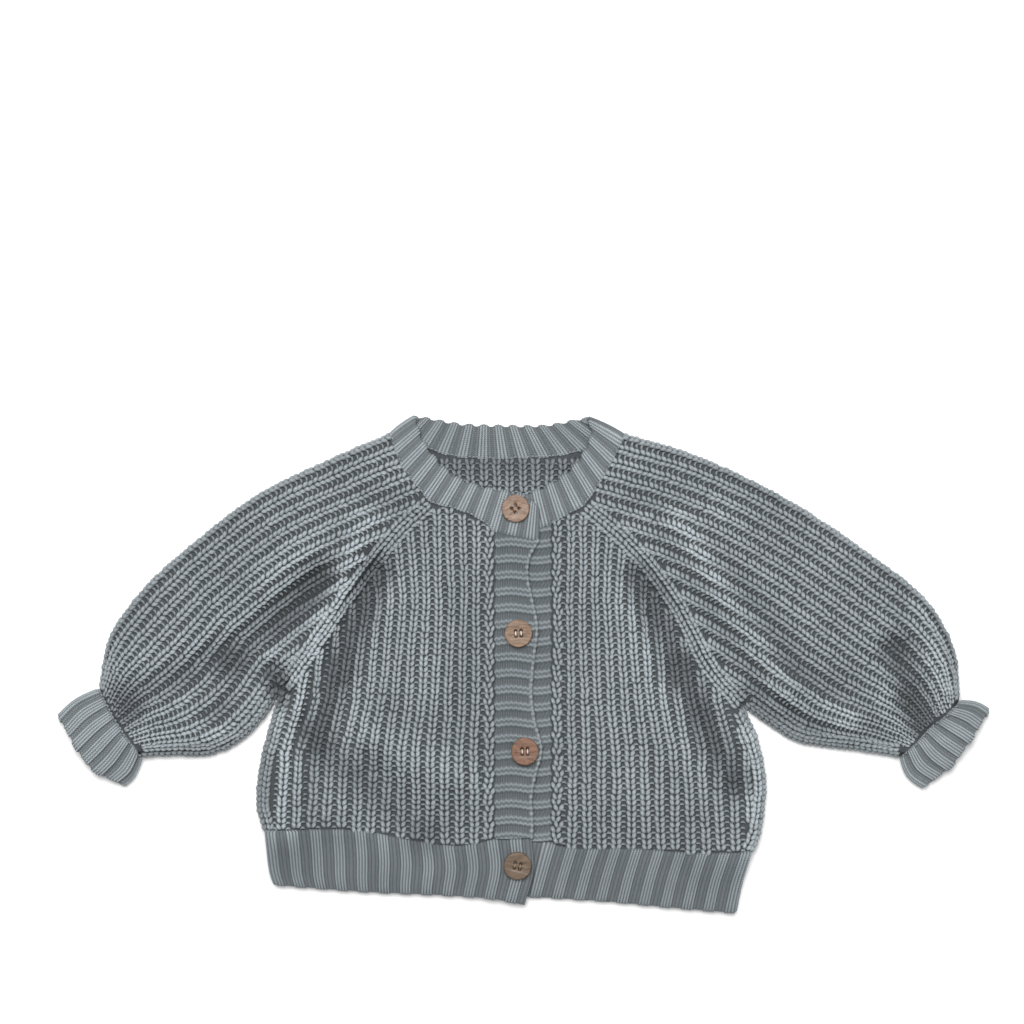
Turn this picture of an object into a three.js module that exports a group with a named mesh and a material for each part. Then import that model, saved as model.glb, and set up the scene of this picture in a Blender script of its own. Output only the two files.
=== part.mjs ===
// Baby chunky knit cardigan with raglan balloon sleeves, buttoned and laid flat on its back.
//
// Millimetres. +X runs from the wearer's right sleeve to the left one, +Y from the hem to the neck,
// +Z up from the surface that the back lies on. The origin is at the middle of the bounding box's underside.
// The cloth is one wall thick everywhere. The back half lies flat on the surface, the front half lies on it,
// and both roll over into each other along the folded outline of the body and the sleeves.

import * as THREE from 'three';

// ---------------------------------------------------------------- driving sizes

const WALL = 2.8;                 // thickness of the knitted cloth
const SEAM_GAP = 0.3;             // clear space between two pieces at a seam
const SEAM_INSET = 0.2;           // how far each piece stops short of its seam line, along its own rows
const NECKBAND_INSET = 0.8;      // the same for the neckband, which turns over at its corners
const STEP_UP = WALL + SEAM_GAP;  // one layer of cloth on another
const LEVEL = [0, 1, 2].map((layer) => WALL / 2 + layer * STEP_UP);  // mid heights of stacked layers
const REST_HEIGHT = 5.4;          // mid height of the front where it lies slack on the back

const ROLL_ASPECT = 1.15;         // how far in the rolled edge reaches, for its half height
const ROLL_REACH = { least: 4.4, most: 11 };
const ROLL_STEPS = [0, 30, 60, 90].map((degrees) => THREE.MathUtils.degToRad(degrees));

const BAND_SEAM = 15;             // the front bands are sewn on this far from the centre line
const BAND_HIDDEN_EDGE = -10;     // free edge of the lower front band, under the upper one
const BAND_RISE = { start: 34, end: 30 };  // where the fronts begin to rise or sink to their bands

const BUTTON = { diameter: 15, thickness: 3, edge: 0.5, hole: 1.3, holeSides: 8, holeSpacing: 2.8 };

const YARN = { color: 0x98a0a3, roughness: 0.95, metalness: 0 };
const WOOD = { color: 0xa98a72, roughness: 0.6, metalness: 0 };

// ---------------------------------------------------------------- outlines, as [x, y] points on smooth curves

const curve = (points) => new THREE.CatmullRomCurve3(
  points.map(([x, y]) => new THREE.Vector3(x, y, 0)), false, 'centripetal');

// One side's outline: the fold along the top of the sleeve, the underside, the body's side, and the raglan seams.
const RIGHT_SIDE = {              // the wearer's right, at -X
  shoulder: curve([[-72.5, 126.5], [-103.6, 113.1], [-143.9, 93.5], [-178.8, 67.3], [-207.6, 41.1],
    [-225.6, 15], [-231.3, -12.8]]),
  underarm: curve([[-132, -12.8], [-142.2, -28.6], [-154.2, -41.1], [-171, -48.8], [-190, -49],
    [-208.2, -50]]),
  flank: curve([[-141.8, -90], [-145, -76.6], [-143.9, -57], [-138.5, -34], [-132, -12.8]]),
  raglanFront: curve([[-132, -12.8], [-110.6, 15.5], [-89.4, 45.4], [-66.1, 74.6], [-50, 89.2]]),
  raglanBack: curve([[-132, -12.8], [-106, 30], [-76, 82], [-53, 119.2]]),
  neckSleeveFront: curve([[-72.5, 126.5], [-66.1, 109.7], [-57.3, 97.8], [-50, 89.2]]),
  neckSleeveBack: curve([[-72.5, 126.5], [-63, 122.5], [-53, 119.2]]),
  neckFront: curve([[-50, 89.2], [-34.1, 85], [-24, 80.4], [-BAND_SEAM, 73.6]]),
  hemFront: curve([[-141.8, -90], [-87.5, -90.8], [-58.9, -96.4], [-34, -98.8], [-BAND_SEAM, -95]]),
  cuffSeam: curve([[-231.3, -12.8], [-221.3, -31], [-208.2, -50]]),
  cuffTop: curve([[-231.3, -12.8], [-244, -18.8], [-254, -28.8]]),
  cuffLow: curve([[-208.2, -50], [-212.5, -60], [-219, -65.5]]),
  cuffEnd: curve([[-254, -28.8], [-244.6, -44], [-234.5, -57.5], [-219, -65.5]]),
  hemSide: curve([[-136.8, -120.2], [-139.4, -113], [-141.8, -90]]),
  topAtUnderarm: 0.59,            // share of the sleeve's top fold that lies above the underarm
};

const LEFT_SIDE = {               // the wearer's left, at +X
  shoulder: curve([[55.3, 126.3], [97.6, 113.1], [149.9, 86.9], [188.6, 60.8], [220.7, 34.6],
    [235.4, 8.4], [238.2, -19.5]]),
  underarm: curve([[119.8, -22], [133, -31.2], [150.4, -41.5], [182.7, -46.3], [206, -50]]),
  flank: curve([[125.6, -101.4], [129.7, -89.7], [132.4, -63.5], [127.2, -38], [119.8, -22]]),
  raglanFront: curve([[119.8, -22], [101.9, -1.3], [82.8, 33.7], [58, 65.8], [33.2, 87.7]]),
  raglanBack: curve([[119.8, -22], [95, 28], [60, 82], [31.5, 117.4]]),
  neckSleeveFront: curve([[55.3, 126.3], [49.2, 113.6], [42, 100.8], [33.2, 87.7]]),
  neckSleeveBack: curve([[55.3, 126.3], [43, 120.8], [31.5, 117.4]]),
  neckFront: curve([[33.2, 87.7], [24, 83], [BAND_SEAM, 77.5]]),
  hemFront: curve([[125.6, -101.4], [93.2, -102.7], [65.4, -100.6], [21.3, -99.5], [BAND_SEAM, -97]]),
  cuffSeam: curve([[238.2, -19.5], [221.3, -35.5], [206, -50]]),
  cuffTop: curve([[238.2, -19.5], [247.5, -20.6], [254.3, -25]]),
  cuffLow: curve([[206, -50], [210, -60], [219.5, -66.5]]),
  cuffEnd: curve([[254.3, -25], [243.6, -41], [234, -55.4], [219.5, -66.5]]),
  hemSide: curve([[116.9, -136], [120.4, -119], [125.6, -101.4]]),
  topAtUnderarm: 0.58,
};

const NECK = {
  backSeam: curve([[-53, 119.2], [-40, 115], [-21.8, 113.4], [0, 113.6], [17, 114.6], [31.5, 117.4]]),
  freeRight: curve([[9.3, 86.4], [-1, 94], [-22.9, 97.8], [-37.3, 104], [-48.5, 114.7], [-56, 127], [-58.5, 136.5]]),
  freeBack: curve([[-58.5, 136.5], [-34.3, 132.2], [-12, 131.3], [13, 131.6], [34.9, 136]]),
  freeLeft: curve([[34.9, 136], [36.6, 126], [30.8, 113.6], [20.8, 103.6], [6.9, 96], [BAND_HIDDEN_EDGE, 92]]),
  upperEnd: [8.9, 68.8],          // the buttoned end of the neckband, at its seam
  lowerEnd: [BAND_HIDDEN_EDGE, 70],  // its other end, hidden beneath
};

const BACK_HEM_TOP = curve([[-141.8, -90], [-60, -95], [20, -98], [125.6, -101.4]]);
const BACK_HEM_EDGE = curve([[-136.8, -120.2], [-60, -124], [20, -128], [116.9, -136]]);
const HEM_EDGE = {
  right: curve([[-136.8, -120.2], [-87.7, -124], [-43.1, -125.8], [-15.3, -128], [0.8, -131.4]]),
  left: curve([[116.9, -136], [76.8, -132.3], [43.1, -129], [BAND_SEAM, -127.4], [BAND_HIDDEN_EDGE, -126.6]]),
};
const HEM_END = {
  right: curve([[0.8, -131.4], [6, -112], [5, -94.6]]),
  left: curve([[BAND_HIDDEN_EDGE, -126.6], [BAND_HIDDEN_EDGE, -111], [BAND_HIDDEN_EDGE, -96.4]]),
};
// Free edge of the upper front band: it swells round each button.
const BAND_FREE_EDGE = curve([[5, -94.6], [5.4, -86], [4.8, -72], [7.2, -59], [10.4, -46], [6.6, -30], [4.8, -15],
  [6.2, 4], [8, 21], [5.2, 36], [2.8, 48], [3.4, 58], [8.9, 68.8]]);

// Puffs, ridges (height above zero) and troughs (below zero) of the front, each along a line from 1 to 2.
const FOLDS = [
  { name: 'right sleeve puff', x1: -122, y1: 62, x2: -198, y2: -6, width: 36, height: 8.5 },
  { name: 'right shoulder', x1: -78, y1: 104, x2: -120, y2: 68, width: 20, height: 3.5 },
  { name: 'right sleeve underside', x1: -205, y1: -18, x2: -160, y2: -30, width: 15, height: 2.5 },
  { name: 'right sleeve trough', x1: -112, y1: 46, x2: -166, y2: -22, width: 10, height: -4.5 },
  { name: 'right raglan ridge', x1: -72, y1: 76, x2: -136, y2: 6, width: 10, height: 4 },
  { name: 'right body trough', x1: -82, y1: 50, x2: -112, y2: -60, width: 11, height: -1.6 },
  { name: 'right flank', x1: -129, y1: -42, x2: -129, y2: -88, width: 14, height: 4 },
  { name: 'right body ridge', x1: -60, y1: 40, x2: -70, y2: -70, width: 20, height: 1.8 },
  { name: 'right cuff dimple', x1: -213, y1: -24, x2: -219, y2: -31, width: 6, height: -3.5 },
  { name: 'right cuff', x1: -226, y1: -34, x2: -240, y2: -48, width: 16, height: 4.6 },
  { name: 'left sleeve puff', x1: 108, y1: 66, x2: 204, y2: -2, width: 36, height: 8.5 },
  { name: 'left shoulder', x1: 60, y1: 106, x2: 108, y2: 80, width: 20, height: 3.5 },
  { name: 'left sleeve underside', x1: 200, y1: -22, x2: 150, y2: -24, width: 15, height: 2.5 },
  { name: 'left raglan ridge', x1: 62, y1: 78, x2: 116, y2: -8, width: 9, height: 3.6 },
  { name: 'left body trough', x1: 74, y1: 38, x2: 103, y2: -42, width: 10, height: -3.2 },
  { name: 'left flank', x1: 117, y1: -44, x2: 116, y2: -104, width: 14, height: 4.4 },
  { name: 'left body ridge', x1: 48, y1: 36, x2: 62, y2: -66, width: 20, height: 1.8 },
  { name: 'left cuff dimple', x1: 208, y1: -20, x2: 219, y2: -33, width: 7, height: -4.5 },
  { name: 'left cuff', x1: 224, y1: -38, x2: 242, y2: -40, width: 16, height: 4.6 },
];

const BUTTONS = [                 // turn in degrees
  { name: 'button_1', x: -4.1, y: 85.6, turn: 45 },
  { name: 'button_2', x: -2.5, y: 17.7, turn: 4 },
  { name: 'button_3', x: 1.0, y: -46.5, turn: 2 },
  { name: 'button_4', x: -3.0, y: -108.7, turn: -12 },
];

// Grid steps of the pieces.
const ROWS = { raglan: 9, underarm: 8, flank: 8, cuff: 3, hem: 2, neckband: 2, band: 2 };
const COLUMNS = { sleeveFront: 6, sleeveBack: 4, front: 7, back: 9, cuff: 3 };

// ---------------------------------------------------------------- the heights of the two layers

const clamp = THREE.MathUtils.clamp;
const smoothstep = THREE.MathUtils.smoothstep;
const lerp = THREE.MathUtils.lerp;

// Distance from (x, y) to the segment from (x1, y1) to (x2, y2).
function segmentDistance(x, y, x1, y1, x2, y2) {
  const dx = x2 - x1;
  const dy = y2 - y1;
  const share = clamp(((x - x1) * dx + (y - y1) * dy) / (dx * dx + dy * dy), 0, 1);
  return Math.hypot(x - x1 - share * dx, y - y1 - share * dy);
}

// Mid height of the front's cloth. side is -1 on the half that laps over at the centre, +1 on the half beneath.
function coverHeight(x, y, side) {
  let height = REST_HEIGHT;
  for (const fold of FOLDS) {
    const away = segmentDistance(x, y, fold.x1, fold.y1, fold.x2, fold.y2) / fold.width;
    height += fold.height * Math.exp(-away * away);
  }
  const lowest = LEVEL[1];
  const free = lowest + Math.log1p(Math.exp((height - lowest) / 0.6)) * 0.6;  // never sinks into the back
  if (side < 0) {
    return lerp(free, LEVEL[2], smoothstep(x, -BAND_RISE.start, -BAND_SEAM));
  }
  return lerp(LEVEL[1], free, smoothstep(x, BAND_SEAM, BAND_RISE.end));
}

// The folded outlines, as runs of points: the tops of the sleeves, and their undersides with the body's sides.
const OUTLINES = [[RIGHT_SIDE, -58.5, 136.5], [LEFT_SIDE, 34.9, 136]].flatMap(([side, x, y]) => {
  const corner = side.shoulder.points[0];
  const neckbandFold = curve([[corner.x, corner.y], [x, y]]);
  return [neckbandFold, side.shoulder, side.cuffTop, side.cuffLow, side.underarm, side.flank, side.hemSide];
}).map((run) => run.getPoints(120));

function outlineDistance(x, y) {
  let least = Infinity;
  for (const points of OUTLINES) {
    for (let i = 1; i < points.length; i += 1) {
      const [from, to] = [points[i - 1], points[i]];
      least = Math.min(least, segmentDistance(x, y, from.x, from.y, to.x, to.y));
    }
  }
  return least;
}

const rollReach = (crown) => clamp(ROLL_ASPECT * crown / 2, ROLL_REACH.least, ROLL_REACH.most);
const quarterArc = (share) => Math.sqrt(1 - (1 - clamp(share, 0, 1)) ** 2);

// Heights of the four surfaces at (x, y). Near a folded outline they follow quarter ellipses to its mid height,
// where the front and the back end, a seam's gap apart.
function surfaces(x, y, side, onOutline = false) {
  const crown = coverHeight(x, y, side) + WALL / 2;
  const reach = rollReach(crown);
  const distance = onOutline ? 0 : outlineDistance(x, y);
  const up = crown / 2 + SEAM_GAP / 2;
  const down = crown / 2 - SEAM_GAP / 2;
  const outer = quarterArc(distance / reach);
  const inner = quarterArc((distance - WALL) / (reach - WALL));
  return {
    upperOuter: up + outer * (crown - up),
    upperInner: up + inner * (crown - WALL - up),
    lowerInner: down - inner * (down - WALL),
    lowerOuter: down * (1 - outer),
  };
}

// ---------------------------------------------------------------- rows of points across a piece

const onCurve = (run, reverse = false) => (t) => {
  const { x, y } = run.getPointAt(clamp(reverse ? 1 - t : t, 0, 1));
  return [x, y];
};

// Two curves one after the other, the first up to the share "split".
const inTurn = (first, second, split) => (t) => (t < split ? first(t / split) : second((t - split) / (1 - split)));

// A patch between the edges a and b, which run along v, and start and end, which join them at v = 0 and v = 1.
function patch({ a, b, start, end }) {
  return (u, v) => [0, 1].map((axis) => (1 - u) * a(v)[axis] + u * b(v)[axis]
    + (1 - v) * start(u)[axis] + v * end(u)[axis]
    - (1 - u) * (1 - v) * a(0)[axis] - u * (1 - v) * b(0)[axis]
    - (1 - u) * v * a(1)[axis] - u * v * b(1)[axis]);
}

// Places across a row, as distances from one end: close together where the cloth rolls over an outline.
// kind is roll at an outline, seam where such an outline has turned into a seam, and plain at any other seam.
function edgePlaces({ kind, reach }) {
  if (kind === 'plain') return [{ outer: SEAM_INSET, inner: SEAM_INSET }];
  return ROLL_STEPS.map((angle) => {
    const share = 1 - Math.cos(angle);
    const outer = Math.max(share * reach, SEAM_INSET);
    const inner = kind === 'roll' ? WALL + share * (reach - WALL) : outer;
    return { outer, inner, onOutline: kind === 'roll' && angle === 0 };
  });
}

function rowPlaces(length, from, to, steps) {
  const first = edgePlaces(from);
  const last = edgePlaces(to).reverse().map((place) => (
    { ...place, outer: length - place.outer, inner: length - place.inner }));
  const begin = first.at(-1).outer;
  const finish = last[0].outer;
  const between = Array.from({ length: steps - 1 }, (_, i) => {
    const at = lerp(begin, finish, (i + 1) / steps);
    return { outer: at, inner: at };
  });
  return [...first, ...between, ...last];
}

// The reach of the rolled edge at a point of an outline.
const reachAt = ([x, y], side) => rollReach(coverHeight(x, y, side) + WALL / 2);

// One row of a piece: its nodes hold an outer point and an inner point of the wall.
function makeRow({ shape, v, from, to, steps, side, layer }) {
  const start = shape(0, v);
  const finish = shape(1, v);
  const length = Math.hypot(finish[0] - start[0], finish[1] - start[1]);
  const ends = [{ kind: from, reach: reachAt(start, side) }, { kind: to, reach: reachAt(finish, side) }];
  return rowPlaces(length, ends[0], ends[1], steps).map((place) => {
    const outer = shape(place.outer / length, v);
    const inner = shape(place.inner / length, v);
    const outerZ = surfaces(...outer, side, place.onOutline);
    const innerZ = surfaces(...inner, side, place.onOutline);
    return {
      outer: [...outer, layer === 'upper' ? outerZ.upperOuter : outerZ.lowerOuter],
      inner: [...inner, layer === 'upper' ? innerZ.upperInner : innerZ.lowerInner],
      onOutline: place.onOutline,
    };
  });
}

// The rows of a whole piece. Seamed ends stop short of their seam lines.
function makeRows({ shape, stations, edges, ...rest }) {
  return stations.map((v, i) => {
    const across = { ...rest, ...edges(v) };
    const span = Math.hypot(...[0, 1].map((axis) => shape(0.5, 1)[axis] - shape(0.5, 0)[axis]));
    const inset = { 0: SEAM_INSET / span, [stations.length - 1]: -SEAM_INSET / span }[i] ?? 0;
    return makeRow({ shape, v: v + inset, ...across });
  });
}

const mean = (a, b) => a.map((value, axis) => (value + b[axis]) / 2);

// Joins the front and the back half of a rolled piece at their common outline.
function ringRow(front, back) {
  const shared = { outer: mean(front[0].outer, back[0].outer), inner: mean(front[0].inner, back[0].inner) };
  return [...front.slice(1).reverse(), shared, ...back.slice(1)];
}

const evenly = (from, to, steps) => Array.from({ length: steps + 1 }, (_, i) => lerp(from, to, i / steps));

// ---------------------------------------------------------------- solids

// A closed wall from rows of nodes, each with an outer and an inner point.
function wallGeometry(rows) {
  const rowCount = rows.length;
  const columnCount = rows[0].length;
  const positions = [];
  for (const face of ['outer', 'inner']) {
    for (const row of rows) {
      for (const node of row) positions.push(...node[face]);
    }
  }
  const index = [];
  const quad = (a, b, c, d) => index.push(a, b, c, a, c, d);
  const outer = (i, j) => i * columnCount + j;
  const inner = (i, j) => rowCount * columnCount + outer(i, j);
  const lastRow = rowCount - 1;
  const lastColumn = columnCount - 1;
  for (let i = 0; i < lastRow; i += 1) {
    for (let j = 0; j < lastColumn; j += 1) {
      quad(outer(i, j), outer(i, j + 1), outer(i + 1, j + 1), outer(i + 1, j));
      quad(inner(i, j), inner(i + 1, j), inner(i + 1, j + 1), inner(i, j + 1));
    }
    quad(outer(i, 0), outer(i + 1, 0), inner(i + 1, 0), inner(i, 0));
    quad(outer(i, lastColumn), inner(i, lastColumn), inner(i + 1, lastColumn), outer(i + 1, lastColumn));
  }
  for (let j = 0; j < lastColumn; j += 1) {
    quad(outer(0, j), inner(0, j), inner(0, j + 1), outer(0, j + 1));
    quad(outer(lastRow, j), outer(lastRow, j + 1), inner(lastRow, j + 1), inner(lastRow, j));
  }
  if (signedVolume(positions, index) < 0) index.reverse();
  const geometry = new THREE.BufferGeometry();
  geometry.setAttribute('position', new THREE.Float32BufferAttribute(positions, 3));
  geometry.setIndex(index);
  geometry.computeVertexNormals();
  return geometry;
}

function signedVolume(positions, index) {
  const corner = (i) => new THREE.Vector3(...positions.slice(3 * i, 3 * i + 3));
  let sum = 0;
  for (let i = 0; i < index.length; i += 3) {
    sum += corner(index[i]).dot(corner(index[i + 1]).cross(corner(index[i + 2])));
  }
  return sum / 6;
}

const garment = new THREE.Group();

function addPiece(name, geometry, finish) {
  const mesh = new THREE.Mesh(geometry, new THREE.MeshStandardMaterial(finish));
  mesh.name = name;
  garment.add(mesh);
  return mesh;
}

const addCloth = (name, rows) => addPiece(name, wallGeometry(rows), YARN);

// ---------------------------------------------------------------- the pieces of one side

const straight = (from, to) => (t) => [lerp(from[0], to[0], t), lerp(from[1], to[1], t)];

// Stations of a sleeve, from the neck to the cuff; a front or back has the same ones along the raglan seam.
function sleeveStations(side) {
  const split = side.topAtUnderarm;
  return [...evenly(0, split, ROWS.raglan), ...evenly(split, 1, ROWS.underarm).slice(1)];
}

function sleeveShapes(side) {
  const split = side.topAtUnderarm;
  const shape = (raglan, neck) => patch({
    a: onCurve(side.shoulder),
    b: inTurn(onCurve(raglan, true), onCurve(side.underarm), split),
    start: onCurve(neck),
    end: onCurve(side.cuffSeam),
  });
  return {
    front: shape(side.raglanFront, side.neckSleeveFront),
    back: shape(side.raglanBack, side.neckSleeveBack),
  };
}

function sleeveRows(side, sign) {
  const shapes = sleeveShapes(side);
  const stations = sleeveStations(side);
  const edges = (v) => ({ from: 'roll', to: v < side.topAtUnderarm - 1e-6 ? 'seam' : 'roll' });
  const half = (layer, shape, steps) => makeRows({ shape, stations, edges, steps, side: sign, layer });
  const front = half('upper', shapes.front, COLUMNS.sleeveFront);
  const back = half('lower', shapes.back, COLUMNS.sleeveBack);
  return front.map((row, i) => ringRow(row, back[i]));
}

function cuffRows(side, sign) {
  const shape = patch({
    a: onCurve(side.cuffTop), b: onCurve(side.cuffLow), start: onCurve(side.cuffSeam), end: onCurve(side.cuffEnd),
  });
  const stations = evenly(0, 1, ROWS.cuff);
  const edges = () => ({ from: 'roll', to: 'roll' });
  const half = (layer) => makeRows({ shape, stations, edges, steps: COLUMNS.cuff, side: sign, layer });
  const back = half('lower');
  return half('upper').map((row, i) => ringRow(row, back[i]));
}

// Stations of the fronts and the back, from the hem to the neck.
const BODY_SPLIT = 0.42;
const bodyStations = () => [...evenly(0, BODY_SPLIT, ROWS.flank), ...evenly(BODY_SPLIT, 1, ROWS.raglan).slice(1)];
const bodyEdge = (side, raglan) => inTurn(onCurve(side.flank), onCurve(raglan), BODY_SPLIT);
const sideKind = (v) => (v > BODY_SPLIT + 1e-6 ? 'seam' : 'roll');

function frontShape(side) {
  const bottom = onCurve(side.hemFront);
  const top = onCurve(side.neckFront);
  return patch({
    a: bodyEdge(side, side.raglanFront), b: straight(bottom(1), top(1)), start: bottom, end: top,
  });
}

function frontRows(side, sign) {
  const edges = (v) => ({ from: sideKind(v), to: 'plain' });
  return makeRows({
    shape: frontShape(side), stations: bodyStations(), edges, steps: COLUMNS.front, side: sign, layer: 'upper',
  });
}

// A front hem runs on past the band's seam to its own end at the centre.
function hemShape(side, edge, end) {
  const seamEnd = end(1);
  const seamLine = onCurve(side.hemFront);
  return patch({
    a: onCurve(side.hemSide), b: end, start: edge, end: inTurn(seamLine, straight(seamLine(1), seamEnd), 0.87),
  });
}

function hemRows(side, sign, edge, end) {
  const edges = () => ({ from: 'roll', to: 'plain' });
  return makeRows({
    shape: hemShape(side, onCurve(edge), onCurve(end)),
    stations: evenly(0, 1, ROWS.hem), edges, steps: COLUMNS.front + 1, side: sign, layer: 'upper',
  });
}

// ---------------------------------------------------------------- the back, the bands and the neckband

const backShape = patch({
  a: bodyEdge(RIGHT_SIDE, RIGHT_SIDE.raglanBack),
  b: bodyEdge(LEFT_SIDE, LEFT_SIDE.raglanBack),
  start: onCurve(BACK_HEM_TOP),
  end: onCurve(NECK.backSeam),
});

function backRows() {
  const edges = (v) => ({ from: sideKind(v), to: sideKind(v) });
  return makeRows({
    shape: backShape, stations: bodyStations(), edges, steps: COLUMNS.back, side: 1, layer: 'lower',
  });
}

function backHemRows() {
  const shape = patch({
    a: onCurve(RIGHT_SIDE.hemSide), b: onCurve(LEFT_SIDE.hemSide),
    start: onCurve(BACK_HEM_EDGE), end: onCurve(BACK_HEM_TOP),
  });
  const edges = () => ({ from: 'roll', to: 'roll' });
  return makeRows({
    shape, stations: evenly(0, 1, ROWS.hem), edges, steps: COLUMNS.back, side: 1, layer: 'lower',
  });
}

// A flat band along the centre, sewn to its front at one long edge. Its stations are the front's own rows.
function bandRows(shape, level) {
  return bodyStations().map((v, i, all) => {
    const inset = { 0: 0.0016, [all.length - 1]: -0.0016 }[i] ?? 0;
    const width = Math.abs(shape(1, v)[0] - shape(0, v)[0]);
    return evenly(SEAM_INSET / width, 1, ROWS.band).map((u) => {
      const [x, y] = shape(u, v + inset);
      return { outer: [x, y, LEVEL[level] + WALL / 2], inner: [x, y, LEVEL[level] - WALL / 2] };
    });
  });
}

function upperBandRows() {
  const seam = (t) => frontShape(RIGHT_SIDE)(1, t);
  const free = onCurve(BAND_FREE_EDGE);
  return bandRows(patch({
    a: seam, b: free, start: straight(seam(0), free(0)), end: straight(seam(1), free(1)),
  }), 2);
}

function lowerBandRows() {
  const seam = (t) => frontShape(LEFT_SIDE)(1, t);
  const free = straight([BAND_HIDDEN_EDGE, -96.4], [BAND_HIDDEN_EDGE, 70]);
  return bandRows(patch({
    a: seam, b: free, start: straight(seam(0), free(0)), end: straight(seam(1), free(1)),
  }), 1);
}

// Places along one edge of a piece, on its seam line: the outer ones and the inner ones.
function seamPlaces(shape, v, from, to, steps, side) {
  return makeRow({ shape, v, from, to, steps, side, layer: 'upper' }).map(({ outer, inner, onOutline }) => (
    { outer: outer.slice(0, 2), inner: inner.slice(0, 2), onOutline }));
}

// Drops places that repeat the one before.
function withoutRepeats(places) {
  return places.filter((place, i) => i === 0
    || Math.hypot(...place.outer.map((value, axis) => value - places[i - 1].outer[axis])) > 1);
}

// A stretch of the neckband: its seam edge goes through the neighbours' own points, and its free edge through
// the same shares of the free curve.
function neckbandStretch(places, free, side, layer) {
  const along = [0];
  for (let i = 1; i < places.length; i += 1) {
    along.push(along[i - 1] + Math.hypot(...places[i].outer.map((value, axis) => value - places[i - 1].outer[axis])));
  }
  const total = along.at(-1);
  const height = (point, face, onOutline) => surfaces(...point, side, onOutline)[layer + face];
  return places.map((place, i) => {
    const slip = Math.hypot(...place.outer.map((value, axis) => value - place.inner[axis]));
    const inward = i < places.length / 2 ? slip : -slip;
    const freeOuter = free(along[i] / total);
    const freeInner = free((along[i] + inward) / total);
    return evenly(0, 1, ROWS.neckband).map((across) => {
      const width = Math.hypot(freeOuter[0] - place.outer[0], freeOuter[1] - place.outer[1]);
      const share = Math.max(across, NECKBAND_INSET / width);
      const outer = place.outer.map((value, axis) => lerp(value, freeOuter[axis], share));
      const inner = place.inner.map((value, axis) => lerp(value, freeInner[axis], share));
      return {
        outer: [...outer, height(outer, 'Outer', place.onOutline)],
        inner: [...inner, height(inner, 'Inner', place.onOutline)],
      };
    });
  });
}

function neckbandRows() {
  const sleeves = { right: sleeveShapes(RIGHT_SIDE), left: sleeveShapes(LEFT_SIDE) };
  const fromCorner = (shape, side, steps) => seamPlaces(shape, 0, 'roll', 'seam', steps, side);
  const alongFront = (side, sign) => seamPlaces(frontShape(side), 1, 'seam', 'plain', COLUMNS.front, sign);
  const end = (point) => ({ outer: point, inner: point });
  const middle = (a, b) => end(mean(a, b));
  const upper = [
    end(NECK.upperEnd),
    middle(NECK.upperEnd, [-BAND_SEAM, 73.6]),
    ...alongFront(RIGHT_SIDE, -1).reverse(),
    ...fromCorner(sleeves.right.front, -1, COLUMNS.sleeveFront).reverse(),
  ];
  const behind = [
    ...fromCorner(sleeves.right.back, -1, COLUMNS.sleeveBack),
    ...seamPlaces(backShape, 1, 'seam', 'seam', COLUMNS.back, 1),
    ...fromCorner(sleeves.left.back, 1, COLUMNS.sleeveBack).reverse(),
  ];
  const beneath = [
    ...fromCorner(sleeves.left.front, 1, COLUMNS.sleeveFront),
    ...alongFront(LEFT_SIDE, 1),
    middle([BAND_SEAM, 77.5], NECK.lowerEnd),
    end(NECK.lowerEnd),
  ];
  const stretches = [
    neckbandStretch(withoutRepeats(upper), onCurve(NECK.freeRight), -1, 'upper'),
    neckbandStretch(withoutRepeats(behind), onCurve(NECK.freeBack), -1, 'lower'),
    neckbandStretch(withoutRepeats(beneath), onCurve(NECK.freeLeft), 1, 'upper'),
  ];
  return stretches.reduce((rows, stretch) => {
    const shared = stretch[0].map((node, j) => ({
      outer: mean(node.outer, rows.at(-1)[j].outer), inner: mean(node.inner, rows.at(-1)[j].inner),
    }));
    return [...rows.slice(0, -1), shared, ...stretch.slice(1)];
  });
}

// ---------------------------------------------------------------- buttons

// A wooden disc with a softened rim and four sewing holes.
function buttonGeometry() {
  const radius = BUTTON.diameter / 2;
  const disc = new THREE.Shape().absarc(0, 0, radius - BUTTON.edge, 0, 2 * Math.PI);
  const half = BUTTON.holeSpacing / 2;
  for (const x of [-half, half]) {
    for (const y of [-half, half]) {
      const round = new THREE.Path().absarc(x, y, BUTTON.hole / 2 + BUTTON.edge, 0, 2 * Math.PI, true);
      disc.holes.push(new THREE.Path(round.getSpacedPoints(BUTTON.holeSides)));
    }
  }
  const geometry = new THREE.ExtrudeGeometry(disc, {
    depth: BUTTON.thickness - 2 * BUTTON.edge,
    bevelThickness: BUTTON.edge,
    bevelSize: BUTTON.edge,
    bevelSegments: 1,
    curveSegments: 12,
  });
  return geometry.translate(0, 0, BUTTON.edge);
}

// ---------------------------------------------------------------- the garment

addCloth('back_panel', backRows());
addCloth('hem_back', backHemRows());
addCloth('front_right', frontRows(RIGHT_SIDE, -1));
addCloth('front_left', frontRows(LEFT_SIDE, 1));
addCloth('hem_front_right', hemRows(RIGHT_SIDE, -1, HEM_EDGE.right, HEM_END.right));
addCloth('hem_front_left', hemRows(LEFT_SIDE, 1, HEM_EDGE.left, HEM_END.left));
addCloth('sleeve_right', sleeveRows(RIGHT_SIDE, -1));
addCloth('sleeve_left', sleeveRows(LEFT_SIDE, 1));
addCloth('cuff_right', cuffRows(RIGHT_SIDE, -1));
addCloth('cuff_left', cuffRows(LEFT_SIDE, 1));
addCloth('buttonhole_band', upperBandRows());
addCloth('button_band', lowerBandRows());
addCloth('neckband', neckbandRows());

for (const { name, x, y, turn } of BUTTONS) {
  const button = addPiece(name, buttonGeometry(), WOOD);
  button.position.set(x, y, 3 * STEP_UP);
  button.rotation.z = THREE.MathUtils.degToRad(turn);
}

export default garment;
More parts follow.
